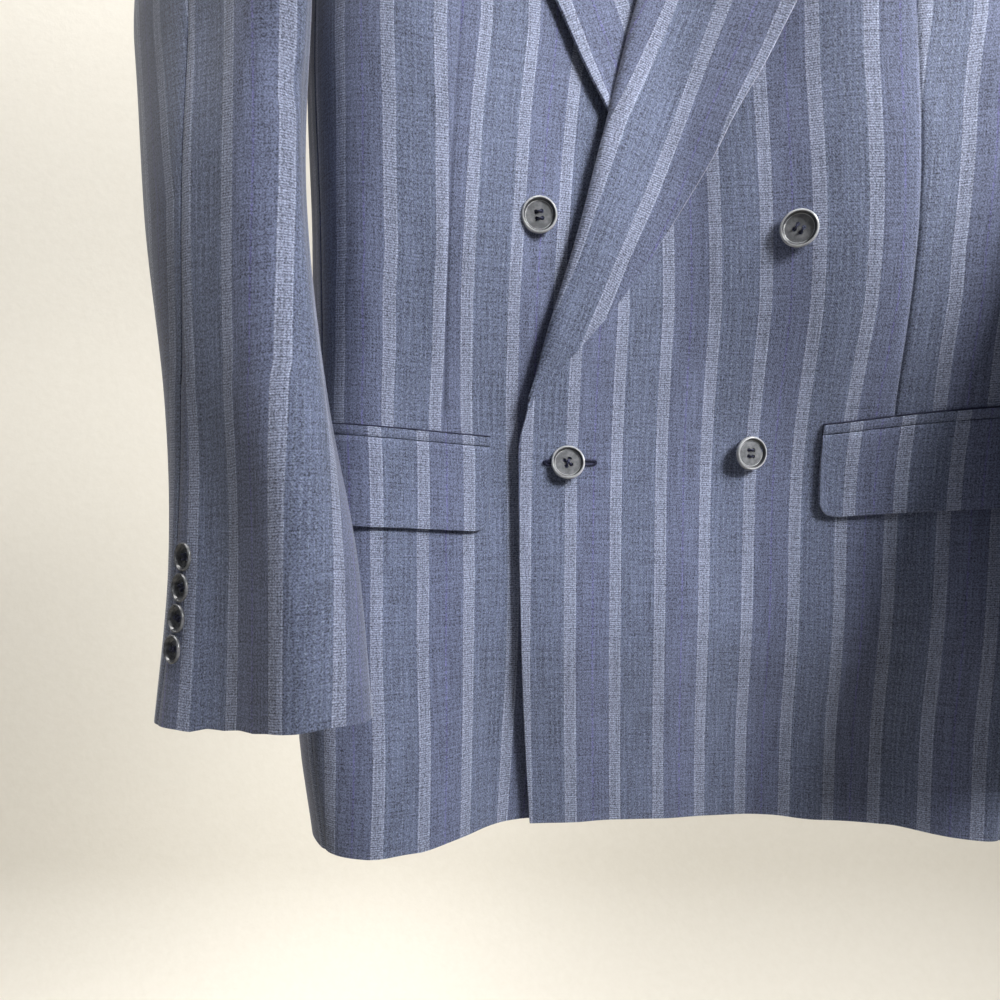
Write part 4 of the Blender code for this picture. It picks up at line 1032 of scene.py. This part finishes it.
def make_pockets(finish, thread_finish):
    for side, word, front_x, height in POCKETS:
        start = float(column_for(np.array([body_row(height)]), lambda _: front_x)[0])
        columns, lengths = along_row(abs(start), height, side)
        corner_run = FLAP_CORNER * (1 - np.cos(np.linspace(0, math.pi / 2, 9)))
        middle_run = np.linspace(FLAP_CORNER, POCKET_LENGTH - FLAP_CORNER, 52)[1:-1]
        run = np.concatenate([corner_run, middle_run, POCKET_LENGTH - corner_run[::-1]])
        across = np.interp(run, lengths, columns)
        top = height + POCKET_RISE * run / 100
        corner = np.clip(FLAP_CORNER - np.minimum(run, POCKET_LENGTH - run), 0, FLAP_CORNER)
        round_up = FLAP_CORNER - np.sqrt(np.maximum(FLAP_CORNER**2 - corner**2, 0))
        # A dark thread laid along the jet's top and front end: painted shadow of the seam's groove
        shadow_line_run = np.concatenate([np.zeros(4), run])
        shadow_line_lift = np.concatenate([np.linspace(-JET_HEIGHT, 0, 5)[:-1], 0 * run + SHADOW_LINE_OFF])
        shadow_line_row = body_row(height + POCKET_RISE * shadow_line_run / 100 + shadow_line_lift)
        seam_column = np.interp(shadow_line_run, lengths, columns) * side
        seam = raised(seam_column, shadow_line_row, SHADOW_LINE_SUNK, lap=side > 0)
        ride_only(thread_line(f"{word}_pocket_shadow_line", seam, SHADOW_LINE_RADIUS, thread_finish))
        flap_top, flap_fall = top - JET_HEIGHT - FLAP_GAP, FLAP_HEIGHT - round_up
        lines = (
            ("jet", 9, top, 0 * run + JET_HEIGHT, JET_FACE, JET_THICK),
            ("flap", 26, flap_top, flap_fall, FLAP_FACE, FLAP_THICK),
        )
        for kind, count_down, upper, fall, face, thick in lines:
            down = np.linspace(1, 0, count_down)[:, None]
            level = body_row(upper - down * fall)[:, ::side]
            signed = np.broadcast_to(across, level.shape)[:, ::side] * side
            swell = JET_SWELL * np.sin(math.pi * down)
            if kind == "flap":
                swell = FLAP_SWELL * (down**2 - 1 + ease(down / 0.06))
            form = body(signed, level)
            x = form[..., 0]
            grain, count = GRAIN[side]
            grain = along_line(grain, height - 30.0) + (POCKET_SHIFT if side > 0 else 0.0)
            length = lengths_across(form)
            inner = len(corner_run) if side > 0 else -1 - len(corner_run)
            start = (x[:, inner] - length[:, inner] - grain)[:, None]
            stripes = length + start + count * STRIPE_PITCH
            points = raised(signed, level, face + swell, lap=side > 0)
            name = f"{word}_{kind}_cloth"
            piece = cloth(name, points, stripes, finish, thick=thick, round_edge=POCKET_ROUND)
            keep(piece, f"{word}_pocket_{kind}")


# --- buttons ---


def button_blank(name, radius, finish, *painted_rim_and_wall_finishes):
    """A turned button: a raised rim, a dished middle, a domed back and four holes, with the further
    finishes painting a highlight on the rim and, on front buttons, shade on its inner wall.
    """
    size = radius * MM
    deselect()
    bpy.ops.mesh.primitive_cylinder_add(
        vertices=64, radius=size, depth=BUTTON_THICK * size,
        location=(0, 0, BUTTON_LEVEL * size),
    )
    piece = bpy.context.object
    piece.name = name
    bpy.ops.object.transform_apply(location=True, rotation=True, scale=True)
    bpy.ops.object.mode_set(mode="EDIT")
    high, low = ((BUTTON_LEVEL + k * BUTTON_THICK) * size for k in (0.4, -0.4))
    shaping = (
        (FACE_STEPS, lambda centre: centre.z > high),
        (BACK_STEPS, lambda centre: centre.z < low),
    )
    for steps, wanted in shaping:
        select_faces(piece, wanted)
        for inset, lift in steps:
            bpy.ops.mesh.inset(thickness=inset * size)
            bpy.ops.transform.translate(value=(0, 0, lift * size))
    bpy.ops.object.mode_set(mode="OBJECT")
    foot = min(v.co.z for v in piece.data.vertices)
    for v in piece.data.vertices:
        v.co.z -= foot
    soften = piece.modifiers.new("soften", "BEVEL")
    soften.width, soften.segments = BUTTON_SOFT * size, 3
    soften.limit_method, soften.angle_limit = "ANGLE", math.radians(18)
    finish_modifiers(piece)
    for x, y in HOLES:
        deselect()
        bpy.ops.mesh.primitive_cylinder_add(
            vertices=20, radius=HOLE_RADIUS * size, depth=size,
            location=(x * size, y * size, 0.1 * size),
        )
        drill = bpy.context.object
        cut = piece.modifiers.new("hole", "BOOLEAN")
        cut.operation, cut.solver, cut.object = "DIFFERENCE", "EXACT", drill
        finish_modifiers(piece)
        bpy.data.objects.remove(drill, do_unlink=True)
    deselect()
    piece.select_set(True)
    bpy.context.view_layer.objects.active = piece
    bpy.ops.object.shade_smooth_by_angle(angle=math.radians(35))
    paint(piece, finish, *painted_rim_and_wall_finishes)
    # Painted light: the rim's top faces take the paler finish as a painted highlight
    for face in piece.data.polygons:
        out = math.hypot(face.center.x, face.center.y) / size
        if face.center.z > 0.1 * size and out > PAINTED_RING_SHARE:
            inward = face.normal.x * face.center.x + face.normal.y * face.center.y < 0
            # Index 2 puts painted shade on the rim's inward wall, index 1 a painted highlight on
            # its top
            face.material_index = 2 if inward and face.normal.z < 0.85 else 1
    return piece


def select_faces(piece, wanted):
    """Selects the faces whose centre is wanted, in edit mode."""
    bpy.ops.mesh.select_all(action="DESELECT")
    bpy.ops.object.mode_set(mode="OBJECT")
    for face in piece.data.polygons:
        face.select = bool(wanted(face.center))
    bpy.ops.object.mode_set(mode="EDIT")
    bpy.ops.mesh.select_mode(type="FACE")


def stitches(name, radius, crossed, finish):
    """The sewing thread that holds a button, over its middle and down its shank."""
    pairs = ((0, 3), (1, 2)) if crossed else ((0, 1), (2, 3))
    share = np.linspace(0, 1, 9)[:, None]
    lift = THREAD_TOP + THREAD_BOW * np.sin(math.pi * share) - THREAD_DIP * abs(2 * share - 1) ** 6
    made = []
    for a, b in pairs:
        start, end = np.array(HOLES[a]), np.array(HOLES[b])
        spots = np.concatenate([start + (end - start) * share, lift], axis=1) * radius
        made.append(thread_line(name, spots, THREAD_RADIUS * radius, finish))
    deselect()
    bpy.ops.mesh.primitive_cylinder_add(
        vertices=20, radius=SHANK_RADIUS * radius * MM, depth=SHANK_LENGTH * radius * MM,
        location=(0, 0, -SHANK_DROP * radius * MM),
    )
    piece = bpy.context.object
    for thread in made:
        thread.select_set(True)
    bpy.ops.object.join()
    piece.name = piece.data.name = name
    bpy.ops.object.transform_apply(location=True, rotation=True, scale=True)
    bpy.ops.object.shade_smooth_by_angle(angle=math.radians(50))
    paint(piece, finish)
    return piece


def copy_to(blank, name, foot, facing, spin):
    """A copy of a piece with its own mesh, turned to face out of the cloth and set in its place."""
    piece = bpy.data.objects.new(name, blank.data.copy())
    bpy.context.scene.collection.objects.link(piece)
    facing = Vector(facing)
    turn = facing.to_track_quat("Z", "Y").to_matrix()
    side = turn @ Vector((-math.cos(spin), -math.sin(spin), 0))
    matrix = Matrix((side, facing.cross(side), facing)).transposed().to_4x4()
    matrix.translation = Vector(foot) * MM
    piece.data.transform(matrix)
    return piece


def make_buttons(front_finishes, cuff_finishes, thread_finish):
    front = button_blank("front_button_blank", FRONT_BUTTON / 2, *front_finishes)
    cuff = button_blank("cuff_button_blank", CUFF_BUTTON / 2, *cuff_finishes)
    sewn = {
        "cross": stitches("crossed_thread", FRONT_BUTTON / 2, True, thread_finish),
        "plain": stitches("plain_thread", FRONT_BUTTON / 2, False, thread_finish),
        "cuff": stitches("cuff_thread", CUFF_BUTTON / 2, False, thread_finish),
    }
    for name, x, z, front_side, spin in FRONT_BUTTONS:
        column, row = place(x, z)
        seat = raised(column, row, FRONT_SEAT, lap=front_side == "left")
        across, up = BUTTON_TILT[name]
        facing = unit(body_out(column, row) + np.array([across, 0, up]))
        thread = sewn["cross" if name == "lower_right_button" else "plain"]
        keep(copy_to(front, name + "_turned", seat, facing, spin), name)
        ride_only(copy_to(thread, name + "_thread", seat, facing, spin))
    for k in range(4):
        height = CUFF_BUTTON_TOP - k * CUFF_BUTTON_STEP
        along = 1 + (HEAD_HEIGHT - height) / (HEAD_HEIGHT - CUFF_HEIGHT)
        share = seam_share(along, ARMHOLE_HIND, "hind") + CUFF_BUTTON_SHARE
        for word, side in (("right", 1), ("left", -1)):
            mirror = np.array([side, 1, 1])
            seat = draped_sleeve(share, along, word, CUFF_SEAT) * mirror
            facing = sleeve_out(share, along) * mirror
            spin = CUFF_BUTTON_SPIN + CUFF_BUTTON_TURN * k
            name = f"{word}_cuff_button_{k + 1}"
            keep(copy_to(cuff, name + "_turned", seat, facing, spin), name)
            ride_only(copy_to(sewn["cuff"], name + "_thread", seat, facing, spin))
    for blank in (front, cuff, *sewn.values()):
        bpy.data.objects.remove(blank, do_unlink=True)


def make_buttonhole(finish):
    """The worked hole under the fastened button: whipped thread round a slit."""
    _, x, z, _, _ = FRONT_BUTTONS[2]
    turn = np.linspace(0, 2 * math.pi, 2 * STITCH_COUNT + 1)[:-1]
    long, high = np.cos(turn), np.sin(turn)
    half_high = BUTTONHOLE_HALF + STITCH_WAVE * np.sin(turn * STITCH_COUNT)
    ring_x = x + BUTTONHOLE_SHIFT + BUTTONHOLE_LENGTH / 2 * np.sign(long) * np.abs(long) ** 0.6
    ring_z = z + half_high * np.sign(high) * np.abs(high) ** 0.7
    column, row = place(ring_x, ring_z)
    ring = raised(column, row, 0.35 + 0.2 * np.cos(turn * STITCH_COUNT), lap=True)
    stitching = thread_line("buttonhole_stitches", ring, STITCH_RADIUS, finish, closed=True)
    ride_only(stitching)


# --- keeping with the frame ---


def keep(piece, node):
    """Shows a piece in place of a solid, riding with it."""
    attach(piece, ROOT)
    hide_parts(node)


def ride_only(piece):
    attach(piece, ROOT)


# --- finishes ---


class Maths:
    """A socket on which Python's operators add Math nodes."""

    def __init__(self, tree, socket):
        self.tree, self.socket = tree, socket

    def _with(self, operation, *others, first=None):
        node = self.tree.nodes.new("ShaderNodeMath")
        node.operation = operation
        values = [self if first is None else first, *others]
        for k, value in enumerate(values):
            if isinstance(value, Maths):
                self.tree.links.new(value.socket, node.inputs[k])
            else:
                node.inputs[k].default_value = value
        return Maths(self.tree, node.outputs[0])

    def __add__(self, other):
        return self._with("ADD", other)

    def __sub__(self, other):
        return self._with("SUBTRACT", other)

    def __rsub__(self, other):
        return self._with("SUBTRACT", self, first=other)

    def __mul__(self, other):
        return self._with("MULTIPLY", other)

    def __truediv__(self, other):
        return self._with("DIVIDE", other)

    def __pow__(self, other):
        return self._with("POWER", other)

    def __abs__(self):
        return self._with("ABSOLUTE")

    def part(self):
        return self._with("FRACT")

    def sine(self):
        return self._with("SINE")

    def over(self, low, high):
        """0 below low, 1 above high, smooth between."""
        node = self.tree.nodes.new("ShaderNodeMapRange")
        node.interpolation_type = "SMOOTHSTEP"
        self.tree.links.new(self.socket, node.inputs["Value"])
        node.inputs["From Min"].default_value, node.inputs["From Max"].default_value = low, high
        return Maths(self.tree, node.outputs[0])


class Finish:
    """A material whose nodes are added one by one, with its settings and inputs."""

    def __init__(self, name, **constants):
        self.material = bpy.data.materials.new(name)
        self.material.use_nodes = True
        self.tree = self.material.node_tree
        self.shader = self.tree.nodes["Principled BSDF"]
        for key, value in constants.items():
            self.shader.inputs[key.replace("_", " ")].default_value = value

    def node(self, kind, settings=None, **inputs):
        node = self.tree.nodes.new(kind)
        for key, value in (settings or {}).items():
            setattr(node, key, value)
        for key, value in inputs.items():
            self.put(node.inputs[key.replace("_", " ")], value)
        return node

    def put(self, socket, value):
        if isinstance(value, Maths):
            value = value.socket
        if isinstance(value, bpy.types.NodeSocket):
            self.tree.links.new(value, socket)
        else:
            socket.default_value = value

    def value(self, node, output=0):
        return Maths(self.tree, node.outputs[output])

    def mix(self, factor, a, b, blend="MIX"):
        node = self.tree.nodes.new("ShaderNodeMix")
        node.data_type, node.blend_type = "RGBA", blend
        self.put(node.inputs[0], factor)
        self.put(node.inputs[6], a)
        self.put(node.inputs[7], b)
        return node.outputs[2]

    def noise(self, vector, scale, detail=2.0, rough=0.5):
        node = self.node(
            "ShaderNodeTexNoise", Vector=vector, Scale=scale, Detail=detail, Roughness=rough
        )
        return self.value(node)

    def own_space(self):
        """The coordinates of the piece itself."""
        return self.node("ShaderNodeTexCoord").outputs["Object"]

    def surface(self, colour, rough=None):
        self.put(self.shader.inputs["Base Color"], colour)
        if rough is not None:
            self.put(self.shader.inputs["Roughness"], rough)

    def bump(self, height, strength, distance):
        node = self.node("ShaderNodeBump", Height=height, Strength=strength, Distance=distance)
        self.put(self.shader.inputs["Normal"], node.outputs[0])


def wave(run, pitch):
    """Rises and falls between 0 and 1 once in each pitch."""
    return (run * (2 * math.pi / pitch)).sine() * 0.5 + 0.5


def suiting():
    """Worsted wool: light stripes of fine rungs between two grounds, all of it heathered."""
    f = Finish("striped_wool", Sheen_Weight=0.25, Sheen_Roughness=0.5, Specular_IOR_Level=0.25)
    flat = f.node("ShaderNodeUVMap", {"uv_map": "UVMap"})
    split = f.node("ShaderNodeSeparateXYZ", Vector=flat.outputs[0])
    u, v = f.value(split, 0) / MM, f.value(split, 1) / MM
    off = (0.5 - abs((u / STRIPE_PITCH).part() - 0.5)) * STRIPE_PITCH
    half = STRIPE_WIDTH / 2
    stripe = 1 - off.over(half - STRIPE_SOFT, half + STRIPE_SOFT)
    rim = off.over(half - RIM_FROM, half - RIM_TO) * stripe
    pair = (u / (2 * STRIPE_PITCH)).part()
    purple = pair.over(0.49, 0.51)
    violet = 1 - (abs(pair - 0.75) * (2 * STRIPE_PITCH)).over(0.25, 0.75)
    pin, rung = wave(u, PIN_PITCH), wave(v, RUNG_PITCH)

    def spread(across, along):
        return f.node("ShaderNodeCombineXYZ", X=u / across, Y=v / along).outputs[0]

    fibre = f.noise(spread(0.85, 0.95), 1.0, 2.0, 0.7)
    fleck = f.noise(spread(1.5, 2.2), 1.0, 2.0, 0.65)
    warp = f.noise(spread(1.0, 40.0), 1.0, 2.0, 0.6)
    weft = f.noise(spread(30.0, 1.0), 1.0, 2.0, 0.6)
    cloud = f.noise(spread(14.0, 40.0), 1.0, 2.0)
    twill = wave(u * 0.9 + v * 0.55, TWILL_PITCH)

    ground = f.mix(purple, GREEN_GROUND, PURPLE_GROUND)
    ground = f.mix(pin ** 3.0 * 0.30 * (1 - purple) * fleck.over(0.35, 0.7), ground, PALE)
    ground = f.mix(violet * 0.6 * fleck.over(0.3, 0.65), ground, VIOLET)
    light = f.mix(rung.over(0.2, 0.8) * 0.52 + rim * 0.26, STRIPE_DARK, STRIPE_LIGHT)
    colour = f.mix(stripe, ground, light)
    melange = fibre.over(0.35, 0.65) * 1.05 + fleck.over(0.35, 0.65) * 0.30
    melange = melange + warp.over(0.35, 0.65) * 0.36 + weft.over(0.35, 0.65) * 0.30
    level = melange * 0.94 + cloud * 0.30 - 0.04
    shade = f.node("ShaderNodeCombineColor", Red=level, Green=level, Blue=level)
    colour = f.mix(1.0, colour, shade.outputs[0], "MULTIPLY")
    f.surface(colour, fleck * 0.16 + 0.76)
    relief = fibre * 0.5 + twill * 0.3 + rung * stripe * 0.5 + stripe * 0.3
    f.bump(relief, 0.35, 0.0004)
    return f.material


def horn(name, base, pale, gloss, streaks):
    """Polished horn: dark grey with cloudy marbling and fine pale streaks."""
    f = Finish(name, IOR=1.5, Coat_Weight=0.5, Coat_Roughness=0.08)
    cloud = f.noise(f.own_space(), 260.0, 4.0, 0.6)
    streak = f.noise(f.own_space(), 900.0, 3.0, 0.7)
    tone = f.mix(cloud.over(0.35, 0.75), base, pale)
    tone = f.mix(streak.over(0.62, 0.8) * streaks, tone, HORN_STREAK)
    f.surface(tone, cloud * 0.12 + gloss)
    f.bump(streak, 0.08, 0.0002)
    return f.material


def navy_thread():
    f = Finish("navy_thread", Roughness=0.7)
    grain = f.noise(f.own_space(), 2600.0, 2.0)
    f.surface(f.mix(grain, (0.006, 0.007, 0.02, 1), (0.03, 0.035, 0.09, 1)))
    f.bump(grain, 0.5, 0.0003)
    return f.material


def hanger_wood():
    """Varnished beech, its grain running along the arms of the hanger."""
    f = Finish("hanger_wood", Coat_Weight=0.35, Coat_Roughness=0.15)
    lay = f.node("ShaderNodeMapping", Vector=f.own_space(), Scale=(9.0, 160.0, 160.0))
    rings = f.noise(lay.outputs[0], 1.0, 4.0, 0.6)
    pores = f.noise(lay.outputs[0], 6.0, 2.0, 0.6)
    tone = f.mix(rings.over(0.3, 0.7), (0.36, 0.19, 0.085, 1), (0.58, 0.36, 0.19, 1))
    tone = f.mix(pores.over(0.6, 0.8) * 0.5, tone, (0.20, 0.10, 0.045, 1))
    f.surface(tone, pores * 0.2 + 0.3)
    f.bump(pores, 0.15, 0.0003)
    return f.material


def hook_wire():
    f = Finish("hook_wire", Metallic=1.0)
    drawn = f.noise(f.own_space(), 700.0, 3.0, 0.7)
    tone = f.mix(drawn, (0.55, 0.55, 0.56, 1), (0.78, 0.78, 0.79, 1))
    f.surface(tone, drawn * 0.2 + 0.18)
    return f.material


def plaster():
    f = Finish("wall_plaster", Roughness=0.9)
    stipple = f.noise(f.own_space(), 60.0, 4.0, 0.6)
    f.surface(f.mix(stipple, (0.80, 0.765, 0.69, 1), (0.86, 0.83, 0.76, 1)))
    f.bump(stipple, 0.12, 0.004)
    return f.material


# --- room ---


def make_room(finish):
    """A wall behind and a floor below, swept into each other."""
    deselect()
    bpy.ops.mesh.primitive_plane_add(size=1.0, location=(0, 0, 0))
    room = bpy.context.object
    room.name = "room_sweep"
    for v in room.data.vertices:
        y = WALL_BACK - SWEEP if v.co.y > 0 else ROOM_FRONT
        v.co = (math.copysign(ROOM_HALF, v.co.x), y, FLOOR)
    bpy.ops.object.mode_set(mode="EDIT")
    bpy.ops.mesh.select_mode(type="VERT")
    bpy.ops.mesh.select_all(action="DESELECT")
    bpy.ops.object.mode_set(mode="OBJECT")
    for v in room.data.vertices:
        v.select = v.co.y > 0
    bpy.ops.object.mode_set(mode="EDIT")
    turn = math.pi / 2 / SWEEP_STEPS
    moves = [
        (0, SWEEP * turn * math.cos(k * turn), SWEEP * turn * math.sin(k * turn))
        for k in range(1, SWEEP_STEPS + 1)
    ]
    for move in (*moves, (0, 0, WALL_HEIGHT)):
        bpy.ops.mesh.extrude_region_move(TRANSFORM_OT_translate={"value": move})
    bpy.ops.object.mode_set(mode="OBJECT")
    bpy.ops.object.shade_smooth()
    paint(room, finish)


def make_light(name, power, size, place_at, aim, colour, spread):
    """A square lamp at a place, turned to its aim, which the camera doesn't see."""
    lamp = bpy.data.lights.new(name, "AREA")
    lamp.energy, lamp.size, lamp.color = power, size, colour
    lamp.spread = math.radians(spread)
    light = bpy.data.objects.new(name, lamp)
    bpy.context.scene.collection.objects.link(light)
    light.location, light.visible_camera = place_at, False
    light.rotation_euler = (Vector(aim) - Vector(place_at)).to_track_quat("-Z", "Y").to_euler()


def make_lights():
    for light in LIGHTS:
        make_light(*light)
    bpy.context.scene.view_settings.view_transform = "Standard"
    world = bpy.data.worlds.new("soft_room")
    bpy.context.scene.world = world
    world.use_nodes = True
    air = world.node_tree.nodes["Background"]
    air.inputs[0].default_value, air.inputs[1].default_value = AIR_COLOUR, AIR_STRENGTH


def make_camera():
    lens = bpy.data.cameras.new("camera")
    lens.lens, lens.sensor_width, lens.clip_start = LENS, SENSOR, NEAR_CLIP
    camera = bpy.data.objects.new("camera", lens)
    bpy.context.scene.collection.objects.link(camera)
    camera.location = CAMERA_AT
    camera.rotation_euler = (math.radians(90), 0, 0)
    bpy.context.scene.camera = camera


def main():
    make_camera()
    make_lights()
    make_room(plaster())
    wool = suiting()
    make_fronts(wool)
    make_side_panels(wool)
    make_backs(wool)
    make_sleeves(wool)
    make_lapels(wool)
    make_collar(wool)
    navy = navy_thread()
    make_pockets(wool, navy)
    # The rim horns are paler than the face horns as a painted highlight; the front wall horn is
    # near black as painted shade
    face, rim, wall_shade_finish, cuff_face, cuff_rim = (horn(name, *look) for name, look in HORNS.items())
    make_buttons((face, rim, wall_shade_finish), (cuff_face, cuff_rim, cuff_face), navy)
    make_buttonhole(navy)
    paint(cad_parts["hanger_body"], hanger_wood())
    paint(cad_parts["hanger_hook"], hook_wire())


main()
